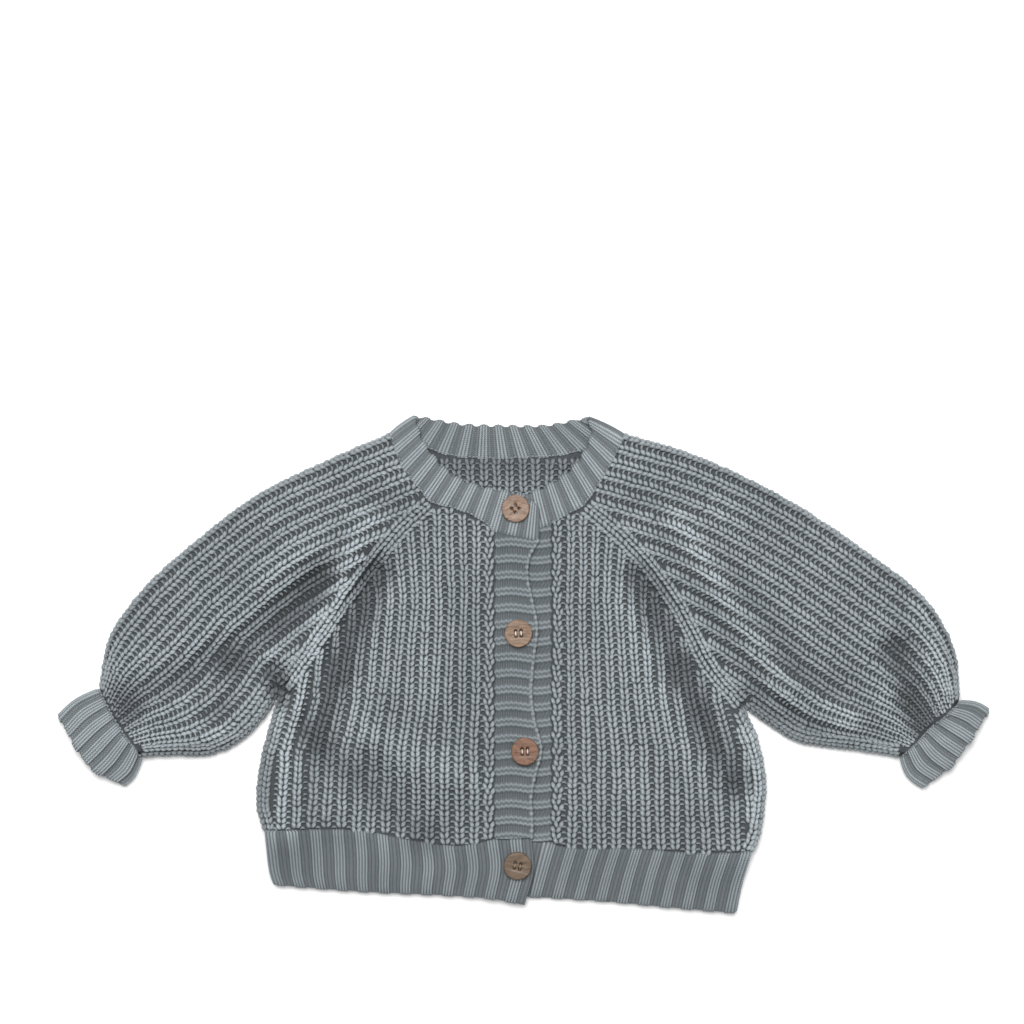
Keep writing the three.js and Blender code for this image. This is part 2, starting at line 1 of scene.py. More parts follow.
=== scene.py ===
"""Chunky rib knit baby cardigan with wooden buttons, laid flat: its stitches, ribs, bands and light.

Lengths in the functions are millimetres, and meshes are written in metres. The cloth's two layers follow the
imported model: the back lies flat and the front lies on it, and both roll into each other along the outline.
"""

import bpy
import numpy as np
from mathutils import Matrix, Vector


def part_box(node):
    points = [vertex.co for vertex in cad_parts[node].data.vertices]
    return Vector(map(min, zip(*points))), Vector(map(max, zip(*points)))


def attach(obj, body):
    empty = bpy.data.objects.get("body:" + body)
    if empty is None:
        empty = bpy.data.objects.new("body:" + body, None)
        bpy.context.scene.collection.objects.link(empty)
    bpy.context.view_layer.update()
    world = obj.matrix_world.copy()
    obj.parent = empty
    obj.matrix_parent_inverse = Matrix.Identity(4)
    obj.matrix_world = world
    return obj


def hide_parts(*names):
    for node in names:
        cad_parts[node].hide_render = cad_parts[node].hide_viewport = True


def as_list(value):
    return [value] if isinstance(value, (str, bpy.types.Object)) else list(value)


bl_info = {
    "name": "Chunky knit cardigan",
    "version": (1, 0, 0),
    "blender": (4, 5, 0),
    "location": "3D View > Sidebar > Knit",
    "description": "Builds a flat-laid baby cardigan in chunky rib, stitch by stitch",
    "category": "Add Mesh",
}

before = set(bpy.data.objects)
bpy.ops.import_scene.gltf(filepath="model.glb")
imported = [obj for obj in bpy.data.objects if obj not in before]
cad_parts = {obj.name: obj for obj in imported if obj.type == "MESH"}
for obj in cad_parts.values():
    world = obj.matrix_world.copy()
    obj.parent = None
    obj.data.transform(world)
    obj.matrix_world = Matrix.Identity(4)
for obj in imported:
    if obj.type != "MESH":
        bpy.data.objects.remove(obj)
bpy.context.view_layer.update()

MM = 0.001
WALL = 2.8                      # thickness of the cloth
SEAM_GAP = 0.3
LEVEL = [WALL / 2 + layer * (WALL + SEAM_GAP) for layer in range(3)]
REST_HEIGHT = 5.4               # mid height of the front where it lies slack
ROLL_ASPECT = 1.15
ROLL_LEAST, ROLL_MOST = 4.4, 11.0
BAND_SEAM = 15.0
BAND_HIDDEN_EDGE = -10.0
RISE_START, RISE_END = 34.0, 30.0
SAMPLES = 160                   # points on each outline curve
CLOTH_MIDDLE = 8.0              # height at which the picture's width is right
FINE_COLUMN = 1.65              # width of one column of fine rib
FOLD_SIGHT = 13.0               # how far around a place its openness to the light is judged


# ------------------------------------------------------------------ outlines

def smooth_curve(points, count=SAMPLES):
    """Centripetal Catmull-Rom curve through the points.

    Each stretch is a cubic whose end slopes blend the three lines around it, weighted by the square roots of
    their lengths. The result is spaced evenly along its length.
    """
    p = np.array(points, float)
    p = np.vstack([2 * p[0] - p[1], p, 2 * p[-1] - p[-2]])
    step = np.sqrt(np.linalg.norm(np.diff(p, axis=0), axis=1))[:, None]
    a, b, c, d = p[:-3], p[1:-2], p[2:-1], p[3:]
    before, here, after = step[:-2], step[1:-1], step[2:]
    slope_b = ((b - a) / before - (c - a) / (before + here) + (c - b) / here) * here
    slope_c = ((c - b) / here - (d - b) / (here + after) + (d - c) / after) * here
    t = np.linspace(0, 1, 40)[None, :, None]
    cubic = (b[:, None] + slope_b[:, None] * t + (3 * (c - b) - 2 * slope_b - slope_c)[:, None] * t ** 2
             + (2 * (b - c) + slope_b + slope_c)[:, None] * t ** 3)
    return even_line(cubic.reshape(-1, 2), count)


def even_line(points, count=SAMPLES):
    """The same line as count points, evenly spaced along its length."""
    points = np.asarray(points, float)
    along = np.concatenate([[0], np.cumsum(np.linalg.norm(np.diff(points, axis=0), axis=1))])
    places = np.linspace(0, along[-1], count)
    return np.stack([np.interp(places, along, points[:, k]) for k in (0, 1)], -1)


def joined(*curves):
    """Curves one after the other, as one evenly spaced line."""
    return even_line(np.vstack(curves), 2 * SAMPLES)


def length_of(curve):
    """Sum of the lengths of a curve's steps."""
    return float(np.linalg.norm(np.diff(curve, axis=0), axis=1).sum())


def at(curve, share):
    """Points at the given shares of an evenly spaced curve."""
    place = np.clip(share, 0, 1) * (len(curve) - 1)
    steps = np.arange(len(curve))
    return np.stack([np.interp(place, steps, curve[:, k]) for k in (0, 1)], -1)


def in_turn(first, second, split):
    """Two curves one after the other, the first up to the share split."""
    def place(share):
        share = np.asarray(share, float)
        late = (share - split) / (1 - split)
        return np.where((share < split)[..., None], at(first, share / split), at(second, late))
    return place


def on(curve):
    """A curve as a function of the share of its length."""
    return lambda share: at(curve, share)


def straight(start, end):
    """The straight line between two points, evenly spaced."""
    return even_line([start, end])


class Patch:
    """Coons patch: the sum of the two ruled surfaces between opposite edges, less the bilinear one."""

    def __init__(self, a, b, start, end):
        self.a, self.b, self.start, self.end = a, b, start, end

    def __call__(self, u, v):
        u, v = np.broadcast_arrays(np.asarray(u, float), np.asarray(v, float))
        s, t = u[..., None], v[..., None]
        low, high = np.zeros(1), np.ones(1)
        corners = ((1 - s) * (1 - t) * self.a(low) + s * (1 - t) * self.b(low)
                   + (1 - s) * t * self.a(high) + s * t * self.b(high))
        return (1 - s) * self.a(v) + s * self.b(v) + (1 - t) * self.start(u) + t * self.end(u) - corners

    def width(self, v):
        """Length of the row at v."""
        v = np.asarray(v, float)
        return np.linalg.norm(self.b(v) - self.a(v), axis=-1)


# One side's outline. The wearer's right side is at -X.
RIGHT = {
    "sign": -1,
    "neckband_fold": straight([-72.5, 126.5], [-58.5, 136.5]),
    "shoulder": smooth_curve([[-72.5, 126.5], [-103.6, 113.1], [-143.9, 93.5], [-178.8, 67.3], [-207.6, 41.1],
                              [-225.6, 15], [-231.3, -12.8]]),
    "underarm": smooth_curve([[-132, -12.8], [-142.2, -28.6], [-154.2, -41.1], [-171, -48.8], [-190, -49],
                              [-208.2, -50]]),
    "flank": smooth_curve([[-141.8, -90], [-145, -76.6], [-143.9, -57], [-138.5, -34], [-132, -12.8]]),
    "raglan_front": smooth_curve([[-132, -12.8], [-110.6, 15.5], [-89.4, 45.4], [-66.1, 74.6], [-50, 89.2]]),
    "raglan_back": smooth_curve([[-132, -12.8], [-106, 30], [-76, 82], [-53, 119.2]]),
    "neck_sleeve_front": smooth_curve([[-72.5, 126.5], [-66.1, 109.7], [-57.3, 97.8], [-50, 89.2]]),
    "neck_sleeve_back": smooth_curve([[-72.5, 126.5], [-63, 122.5], [-53, 119.2]]),
    "neck_front": smooth_curve([[-50, 89.2], [-34.1, 85], [-24, 80.4], [-BAND_SEAM, 73.6]]),
    "hem_front": smooth_curve([[-141.8, -90], [-87.5, -90.8], [-58.9, -96.4], [-34, -98.8], [-BAND_SEAM, -95]]),
    "cuff_seam": smooth_curve([[-231.3, -12.8], [-221.3, -31], [-208.2, -50]]),
    "cuff_top": smooth_curve([[-231.3, -12.8], [-244, -18.8], [-254, -28.8]]),
    "cuff_low": smooth_curve([[-208.2, -50], [-212.5, -60], [-219, -65.5]]),
    "cuff_end": smooth_curve([[-254, -28.8], [-244.6, -44], [-234.5, -57.5], [-219, -65.5]]),
    "hem_side": smooth_curve([[-136.8, -120.2], [-139.4, -113], [-141.8, -90]]),
    "hem_edge": smooth_curve([[-136.8, -120.2], [-87.7, -124], [-43.1, -125.8], [-15.3, -128], [0.8, -131.4]]),
    "hem_end": smooth_curve([[0.8, -131.4], [6, -112], [5, -94.6]]),
    "top_at_underarm": 0.59,
}
LEFT = {
    "sign": 1,
    "neckband_fold": straight([55.3, 126.3], [34.9, 136]),
    "shoulder": smooth_curve([[55.3, 126.3], [97.6, 113.1], [149.9, 86.9], [188.6, 60.8], [220.7, 34.6],
                              [235.4, 8.4], [238.2, -19.5]]),
    "underarm": smooth_curve([[119.8, -22], [133, -31.2], [150.4, -41.5], [182.7, -46.3], [206, -50]]),
    "flank": smooth_curve([[125.6, -101.4], [129.7, -89.7], [132.4, -63.5], [127.2, -38], [119.8, -22]]),
    "raglan_front": smooth_curve([[119.8, -22], [101.9, -1.3], [82.8, 33.7], [58, 65.8], [33.2, 87.7]]),
    "raglan_back": smooth_curve([[119.8, -22], [95, 28], [60, 82], [31.5, 117.4]]),
    "neck_sleeve_front": smooth_curve([[55.3, 126.3], [49.2, 113.6], [42, 100.8], [33.2, 87.7]]),
    "neck_sleeve_back": smooth_curve([[55.3, 126.3], [43, 120.8], [31.5, 117.4]]),
    "neck_front": smooth_curve([[33.2, 87.7], [24, 83], [BAND_SEAM, 77.5]]),
    "hem_front": smooth_curve([[125.6, -101.4], [93.2, -102.7], [65.4, -100.6], [21.3, -99.5], [BAND_SEAM, -97]]),
    "cuff_seam": smooth_curve([[238.2, -19.5], [221.3, -35.5], [206, -50]]),
    "cuff_top": smooth_curve([[238.2, -19.5], [247.5, -20.6], [254.3, -25]]),
    "cuff_low": smooth_curve([[206, -50], [210, -60], [219.5, -66.5]]),
    "cuff_end": smooth_curve([[254.3, -25], [243.6, -41], [234, -55.4], [219.5, -66.5]]),
    "hem_side": smooth_curve([[116.9, -136], [120.4, -119], [125.6, -101.4]]),
    "hem_edge": smooth_curve([[116.9, -136], [76.8, -132.3], [43.1, -129], [BAND_SEAM, -127.4],
                              [BAND_HIDDEN_EDGE, -126.6]]),
    "hem_end": straight([BAND_HIDDEN_EDGE, -126.6], [BAND_HIDDEN_EDGE, -96.4]),
    "top_at_underarm": 0.58,
}
SIDES = {"right": RIGHT, "left": LEFT}

NECK_BACK_SEAM = smooth_curve([[-53, 119.2], [-40, 115], [-21.8, 113.4], [0, 113.6], [17, 114.6], [31.5, 117.4]])
NECK_FREE_RIGHT = smooth_curve([[9.3, 86.4], [-1, 94], [-22.9, 97.8], [-37.3, 104], [-48.5, 114.7], [-56, 127],
                                [-58.5, 136.5]])
NECK_FREE_BACK = smooth_curve([[-58.5, 136.5], [-34.3, 132.2], [-12, 131.3], [13, 131.6], [34.9, 136]])
NECK_FREE_LEFT = smooth_curve([[34.9, 136], [36.6, 126], [30.8, 113.6], [20.8, 103.6], [6.9, 96],
                               [BAND_HIDDEN_EDGE, 92]])
NECK_UPPER_END = [8.9, 68.8]
NECK_LOWER_END = [BAND_HIDDEN_EDGE, 70]
BACK_HEM_TOP = smooth_curve([[-141.8, -90], [-60, -95], [20, -98], [125.6, -101.4]])
BACK_HEM_EDGE = smooth_curve([[-136.8, -120.2], [-60, -124], [20, -128], [116.9, -136]])
BAND_FREE_EDGE = smooth_curve([[5, -94.6], [5.4, -86], [4.8, -72], [7.2, -59], [10.4, -46], [6.6, -30], [4.8, -15],
                               [6.2, 4], [8, 21], [5.2, 36], [2.8, 48], [3.4, 58], [8.9, 68.8]])

# Puffs, ridges and troughs of the front: from (x1, y1) to (x2, y2), Gaussian width, height.
FOLDS = np.array([
    (-122, 62, -198, -6, 36, 8.5),      # right sleeve puff
    (-78, 104, -120, 68, 20, 3.5),      # right shoulder
    (-205, -18, -160, -30, 15, 2.5),    # right sleeve underside
    (-112, 46, -166, -22, 10, -4.5),    # right sleeve trough
    (-72, 76, -136, 6, 10, 4),          # right raglan ridge
    (-82, 50, -112, -60, 11, -1.6),     # right body trough
    (-129, -42, -129, -88, 14, 4),      # right flank
    (-60, 40, -70, -70, 20, 1.8),       # right body ridge
    (-213, -24, -219, -31, 6, -3.5),    # right cuff dimple
    (-226, -34, -240, -48, 16, 4.6),    # right cuff
    (108, 66, 204, -2, 36, 8.5),        # left sleeve puff
    (60, 106, 108, 80, 20, 3.5),        # left shoulder
    (200, -22, 150, -24, 15, 2.5),      # left sleeve underside
    (62, 78, 116, -8, 9, 3.6),          # left raglan ridge
    (74, 38, 103, -42, 10, -3.2),       # left body trough
    (117, -44, 116, -104, 14, 4.4),     # left flank
    (48, 36, 62, -66, 20, 1.8),         # left body ridge
    (208, -20, 219, -33, 7, -4.5),      # left cuff dimple
    (224, -38, 242, -40, 16, 4.6),      # left cuff
], float)


# The same for the looks alone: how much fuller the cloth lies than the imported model's simple folds.
FULLER = np.array([
    (-84, 80, -124, -20, 9, 7.0),       # right raglan ridge
    (-126, -22, -131, -90, 9, 4.5),     # right flank
    (-80, 50, -99, -2, 8, -6.5),        # right body trough, upper part
    (-99, -2, -113, -38, 9, -8.0),      # right body trough, lower part
    (-112, -42, -56, -90, 13, -8.0),    # drag fold above the right welt
    (-137, -5, -131, -19, 6, -9.0),     # hollow at the right underarm
    (-56, 50, -52, -60, 30, 6.0),       # right belly
    (-84, -38, -24, -62, 13, 5.0),      # right body ridge
    (-50, 36, -52, -14, 12, 2.0),       # right chest
    (-106, 46, -160, 4, 10, -6.0),      # right sleeve trough, upper part
    (-160, 4, -218, -20, 11, -7.5),     # right sleeve trough, towards the cuff
    (-94, 78, -138, 50, 13, 4.0),       # right shoulder ridge
    (-204, -42, -165, -36, 7, 4.0),     # right sleeve underside
    (82, 78, 140, -12, 10, 10.0),       # left raglan ridge
    (104, 80, 158, 4, 15, 3.5),         # its slope towards the sleeve
    (140, -12, 176, -30, 8, 6.0),       # left raglan ridge, towards the underarm
    (62, 48, 86, -4, 8, -6.5),          # left body trough, upper part
    (86, -4, 115, -62, 10, -10.0),      # left body trough, lower part
    (52, 50, 52, -60, 30, 6.0),         # left belly
    (126, -40, 128, -98, 7, 5.0),       # left flank
    (203, 8, 219, -32, 9, -9.0),        # left sleeve trough at the cuff
    (216, 32, 231, -12, 7, 4.0),        # left sleeve, outer edge
], float)


# ------------------------------------------------------------------ the two layers' surfaces

def line_distance(xy, line):
    """Least distance from each point to a line of points, as the distance to its nearest segment."""
    xy = np.asarray(xy, float)
    flat = xy.reshape(-1, 2)
    start, run = line[:-1], np.diff(line, axis=0)
    square = np.maximum((run ** 2).sum(1), 1e-9)
    least = np.empty(len(flat))
    for first in range(0, len(flat), 8192):
        away = flat[first:first + 8192, None] - start[None]
        share = np.clip((away * run).sum(-1) / square, 0, 1)
        least[first:first + 8192] = np.sqrt(((away - share[..., None] * run) ** 2).sum(-1).min(1))
    return least.reshape(xy.shape[:-1])


OUTLINE = ["neckband_fold", "shoulder", "cuff_top", "cuff_low", "underarm", "flank", "hem_side"]


def outline_distance(xy):
    """Distance to the nearest folded edge of the garment."""
    return np.minimum.reduce([line_distance(xy, even_line(side[name], 60)) for side in SIDES.values()
                              for name in OUTLINE])


def smoothstep(value, low, high):
    """0 below low, 1 above high, and 3 s^2 - 2 s^3 of the share s between them."""
    share = np.clip((value - low) / (high - low), 0, 1)
    return share * share * (3 - 2 * share)


def fold_height(xy, folds):
    """Sum of folds: each is its height times exp(-(distance to its line / its width)^2)."""
    x, y = xy[..., 0], xy[..., 1]
    height = np.zeros(x.shape)
    for x1, y1, x2, y2, width, tall in folds:
        dx, dy = x2 - x1, y2 - y1
        share = np.clip(((x - x1) * dx + (y - y1) * dy) / (dx * dx + dy * dy), 0, 1)
        away = np.hypot(x - x1 - share * dx, y - y1 - share * dy) / width
        height += tall * np.exp(-away * away)
    return height


def cover_height(xy, sign, fuller=True):
    """Mid height of the front's cloth: rest height plus folds, never sunk into the back.

    It rises to the upper band's level on the right half (sign -1) and sinks to the lower band's on the left.
    """
    x = xy[..., 0]
    height = REST_HEIGHT + fold_height(xy, np.vstack([FOLDS, FULLER]) if fuller else FOLDS)
    free = LEVEL[1] + np.logaddexp(0, (height - LEVEL[1]) / 0.6) * 0.6
    if sign < 0:
        share = smoothstep(x, -RISE_START, -BAND_SEAM)
        return free + (LEVEL[2] - free) * share
    share = smoothstep(x, BAND_SEAM, RISE_END)
    return LEVEL[1] + (free - LEVEL[1]) * share


def roll_reach(crown):
    """How far in from a folded edge the cloth rolls: a share of half its height, within limits."""
    return np.clip(ROLL_ASPECT * crown / 2, ROLL_LEAST, ROLL_MOST)


def quarter_arc(share):
    """Height of a quarter circle: the square root of 1 - (1 - share)^2."""
    return np.sqrt(1 - (1 - np.clip(share, 0, 1)) ** 2)


def fold_painted_light(xy):
    """How open the cloth lies to the light, painted into the colour: a share that falls with the mean height of eight
    places around it, painted shade in troughs and painted highlight on crests.
    """
    folds = np.vstack([FOLDS, FULLER])
    turns = np.arange(8) / 8 * 2 * np.pi
    around = sum(fold_height(xy + FOLD_SIGHT * np.array([np.cos(turn), np.sin(turn)]), folds) for turn in turns) / 8
    return np.clip(1.02 + 0.11 * (fold_height(xy, folds) - around), 0.35, 1.5)


def neck_shade(xy):
    """How open the back's inner face lies inside the neck: darkest right under the neckband."""
    return 0.58 + 0.42 * smoothstep(line_distance(xy, NECK_BACK_SEAM), 3, 22)


def openness(xy, face):
    """Painted light of a face's strands: the folds' painted shade and highlight on the front, the neck's painted
    shade inside the back, 1 beneath.
    """
    if face == "upper_outer":
        return fold_painted_light(xy)
    return neck_shade(xy) if face == "lower_inner" else 1.0


FACES = ["upper_outer", "upper_inner", "lower_inner", "lower_outer"]


def surface_heights(xy, sign, fuller=True):
    """Heights of the four faces. Near a folded edge each follows a quarter ellipse to mid height."""
    crown = cover_height(xy, sign, fuller) + WALL / 2
    reach = roll_reach(crown)
    distance = outline_distance(xy)
    up, down = (crown + SEAM_GAP) / 2, (crown - SEAM_GAP) / 2
    outer = quarter_arc(distance / reach)
    inner = quarter_arc((distance - WALL) / (reach - WALL))
    return np.stack([up + outer * (crown - up), up + inner * (crown - WALL - up), down - inner * (down - WALL),
                     down * (1 - outer)])


def surface_height(xy, sign, face):
    """Height of one of the four faces."""
    return surface_heights(xy, sign)[FACES.index(face)]


def seat_all(xy, sign, step=0.25):
    """Points on all four faces and their outward unit normals, from the slopes to each side."""
    xy = np.asarray(xy, float)
    heights = surface_heights(xy, sign)
    slopes = [(surface_heights(xy + shift, sign) - surface_heights(xy - shift, sign)) / (2 * step)
              for shift in (np.array([step, 0]), np.array([0, step]))]
    normals = np.stack([-slopes[0], -slopes[1], np.ones_like(heights)], -1)
    normals[[1, 3]] *= -1
    normals /= np.linalg.norm(normals, axis=-1, keepdims=True)
    flat = np.broadcast_to(xy, (4, *xy.shape))
    return np.concatenate([flat, heights[..., None]], -1), normals


def seat(xy, sign, face):
    """Points on one face and its outward unit normals."""
    points, normals = seat_all(xy, sign)
    return points[FACES.index(face)], normals[FACES.index(face)]


def row_distance(along, width, reach_a, reach_b=None):
    """Distance across a row for a distance along the cloth, which rolls round a quarter ellipse at its ends."""
    def turn(amount, reach):
        arc = reach * 1.35
        return np.where(amount < arc, reach * (1 - np.cos(np.clip(amount / arc, 0, 1) * np.pi / 2)),
                        amount - arc + reach)
    extra = 0.35 * reach_a + (0 if reach_b is None else 0.35 * reach_b)
    near = turn(along, reach_a)
    if reach_b is None:
        return near
    far = width - turn(np.maximum(width + extra - along, 0), reach_b)
    return np.where(along < (width + extra) / 2, near, far)


# ------------------------------------------------------------------ meshes

def pressed(vertices):
    """Vertices pressed on the floor: z becomes r ln(1 + e^(z / r)), which leaves all but the last millimetre."""
    soft = 0.3
    return np.concatenate([vertices[:, :2], soft * np.logaddexp(0, vertices[:, 2:] / soft)], 1)


def to_mesh(name, vertices, quads, triangles=None, uv=None, crown=None):
    """A mesh object from arrays: vertices in millimetres, faces as index rows, UVs and crown shares per vertex.

    The crown share is a painted shade: 0 deep between the strands and 1 on top of them, and is kept as an attribute
    that scales the colour.
    """
    vertices = pressed(np.asarray(vertices, float))
    loops = [quads.reshape(-1)]
    sizes = [np.full(len(quads), 4)]
    if triangles is not None and len(triangles):
        loops.append(triangles.reshape(-1))
        sizes.append(np.full(len(triangles), 3))
    loops, sizes = np.concatenate(loops).astype(np.int32), np.concatenate(sizes).astype(np.int32)
    mesh = bpy.data.meshes.new(name)
    mesh.vertices.add(len(vertices))
    mesh.vertices.foreach_set("co", (vertices * MM).astype(np.float32).ravel())
    mesh.loops.add(len(loops))
    mesh.loops.foreach_set("vertex_index", loops)
    mesh.polygons.add(len(sizes))
    mesh.polygons.foreach_set("loop_start", (np.cumsum(sizes) - sizes).astype(np.int32))
    mesh.polygons.foreach_set("use_smooth", np.ones(len(sizes), bool))
    mesh.update(calc_edges=True)
    if uv is not None:
        layer = mesh.uv_layers.new(name="UVMap")
        layer.data.foreach_set("uv", uv[loops].astype(np.float32).ravel())
    if crown is not None:
        mesh.attributes.new("crown", "FLOAT", "POINT").data.foreach_set("value", crown.astype(np.float32))
    mesh.validate()
    piece = bpy.data.objects.new(name, mesh)
    bpy.context.scene.collection.objects.link(piece)
    return piece


def merge_parts(parts):
    """Joins (vertices, quads, triangles, uv, crown) parts into one set of arrays."""
    offset, out = 0, [[], [], [], [], []]
    for vertices, quads, triangles, uv, crown in parts:
        for group, values in zip(out, (vertices, quads + offset, triangles + offset, uv, crown)):
            group.append(values)
        offset += len(vertices)
    return [np.concatenate(group) for group in out]


def strand_template(centre, radius, sides, mirror=False):
    """A closed strand round a centre line, with a pole at each end.

    Ring k has its middle at centre[k] and radius[k], in the plane across the line. Mirroring flips x.
    """
    rings = len(centre)
    tangent = np.gradient(centre, axis=0)
    tangent /= np.linalg.norm(tangent, axis=1, keepdims=True)
    across = np.cross(tangent, [0, 0, 1.0])
    across /= np.linalg.norm(across, axis=1, keepdims=True)
    up = np.cross(across, tangent)
    angle = np.arange(sides) / sides * 2 * np.pi
    ring = (centre[:, None] + radius[:, None, None] * (np.cos(angle)[None, :, None] * across[:, None]
                                                       + np.sin(angle)[None, :, None] * up[:, None]))
    poles = np.stack([centre[0] - tangent[0] * radius[0] * 0.6, centre[-1] + tangent[-1] * radius[-1] * 0.6])
    vertices = np.vstack([ring.reshape(-1, 3), poles])
    i, j = np.meshgrid(np.arange(rings - 1), np.arange(sides), indexing="ij")
    k = (j + 1) % sides
    quads = np.stack([i * sides + j, (i + 1) * sides + j, (i + 1) * sides + k, i * sides + k], -1).reshape(-1, 4)
    side = np.arange(sides)
    nearby = (side + 1) % sides
    first = np.stack([np.full(sides, rings * sides), side, nearby], -1)
    last = (rings - 1) * sides
    second = np.stack([np.full(sides, rings * sides + 1), last + nearby, last + side], -1)
    triangles = np.vstack([first, second])
    around = np.concatenate([np.tile(angle / (2 * np.pi), rings), [0.5, 0.5]])
    along = np.concatenate([np.repeat(np.linspace(0, 1, rings), sides), [0, 1]])
    if mirror:
        vertices = vertices * [-1, 1, 1]
        quads, triangles, around = quads[:, ::-1], triangles[:, ::-1], -around
    # The crown share is a painted shade: darker towards the strand's underside, lighter on its top.
    crown = np.clip((vertices[:, 2] - vertices[:, 2].min()) / np.ptp(vertices[:, 2]), 0, 1)
    return vertices, quads, triangles, np.stack([around, along], -1), crown


def stitch_template(sides, rings):
    """One knitted V: two plump legs that rise from its point and bulge out of the cloth."""
    s = np.linspace(0, 1, rings)
    bulge = np.sin(np.pi * s)
    centre = np.stack([0.6 + 1.4 * s ** 0.9, -2.05 + 3.95 * s, -0.95 + 1.15 * bulge], -1)
    radius = 0.42 + 0.83 * bulge ** 0.75
    legs = [strand_template(centre, radius, sides), strand_template(centre, radius, sides, mirror=True)]
    return merge_parts(legs)


def bump_template(sides=4):
    """A purl bump in the hollow: a short arch that lies across its column."""
    s = np.linspace(0, 1, 4)
    arch = np.sin(np.pi * s)
    centre = np.stack([-1.5 + 3.0 * s, -0.6 + 1.1 * arch, -0.25 + 0.6 * arch], -1)
    vertices, quads, triangles, uv, crown = strand_template(centre, 0.45 + 0.42 * arch, sides)
    # A painted shade: the bump lies in the hollow, so its crown share is lower.
    return vertices, quads, triangles, uv, crown * 0.72


def place_template(template, points, along, normals, scale, seed, lit=1.0):
    """Copies a template to each point: its y follows the column, its z the normal, its x crosses both.

    Each copy is turned, stretched, shifted and toned a little at random, as hand knitting is.
    """
    vertices, quads, triangles, uv, crown = template
    lit = np.broadcast_to(lit, len(points))[:, None]
    rng = np.random.default_rng(seed)
    count = len(points)
    along = along - (along * normals).sum(-1, keepdims=True) * normals
    along /= np.linalg.norm(along, axis=-1, keepdims=True)
    across = np.cross(along, normals)
    turn = rng.normal(0, 0.06, count)[:, None]
    along, across = along * np.cos(turn) + across * np.sin(turn), across * np.cos(turn) - along * np.sin(turn)
    size = scale * (1 + rng.normal(0, 0.045, (count, 3)))
    shift = rng.normal(0, 0.14, (count, 3))
    local = vertices[None] * size[:, None] + shift[:, None]
    placed = (points[:, None] + local[..., 0:1] * across[:, None] + local[..., 1:2] * along[:, None]
              + local[..., 2:3] * normals[:, None])
    offset = (np.arange(count) * len(vertices))[:, None, None]
    # Each copy's crown share is toned at random and times lit, the face's painted shade and painted highlight.
    tone_and_painted_light = rng.uniform(0.88, 1.0, (count, 1)) * lit
    return (placed.reshape(-1, 3), (quads[None] + offset).reshape(-1, 4), (triangles[None] + offset).reshape(-1, 3),
            np.tile(uv, (count, 1)), (crown[None] * tone_and_painted_light).ravel())


# ------------------------------------------------------------------ materials

def linear(hex_colour):
    """sRGB hex to linear RGBA: the standard curve with its straight toe."""
    channels = np.array([int(hex_colour[i:i + 2], 16) for i in (1, 3, 5)]) / 255
    values = np.where(channels <= 0.04045, channels / 12.92, ((channels + 0.055) / 1.055) ** 2.4)
    return (*values.tolist(), 1.0)


def add_node(tree, kind, settings=None, **links):
    """Adds a node, sets its properties and inputs, and links inputs to the sockets given by name."""
    node = tree.nodes.new(kind)
    for key, value in (settings or {}).items():
        if isinstance(key, str) and key in node.bl_rna.properties:
            setattr(node, key, value)
        else:
            node.inputs[key].default_value = value
    for key, socket in links.items():
        name = int(key[1:]) if key[0] == "i" and key[1:].isdigit() else key.replace("_", " ")
        tree.links.new(socket, node.inputs[name])
    return node


def new_material(name):
    """A material with one principled shader: the material, its node tree and the shader."""
    material = bpy.data.materials.new(name)
    material.use_nodes = True
    tree = material.node_tree
    tree.nodes.clear()
    output = tree.nodes.new("ShaderNodeOutputMaterial")
    shader = tree.nodes.new("ShaderNodeBsdfPrincipled")
    tree.links.new(shader.outputs[0], output.inputs[0])
    return material, tree, shader


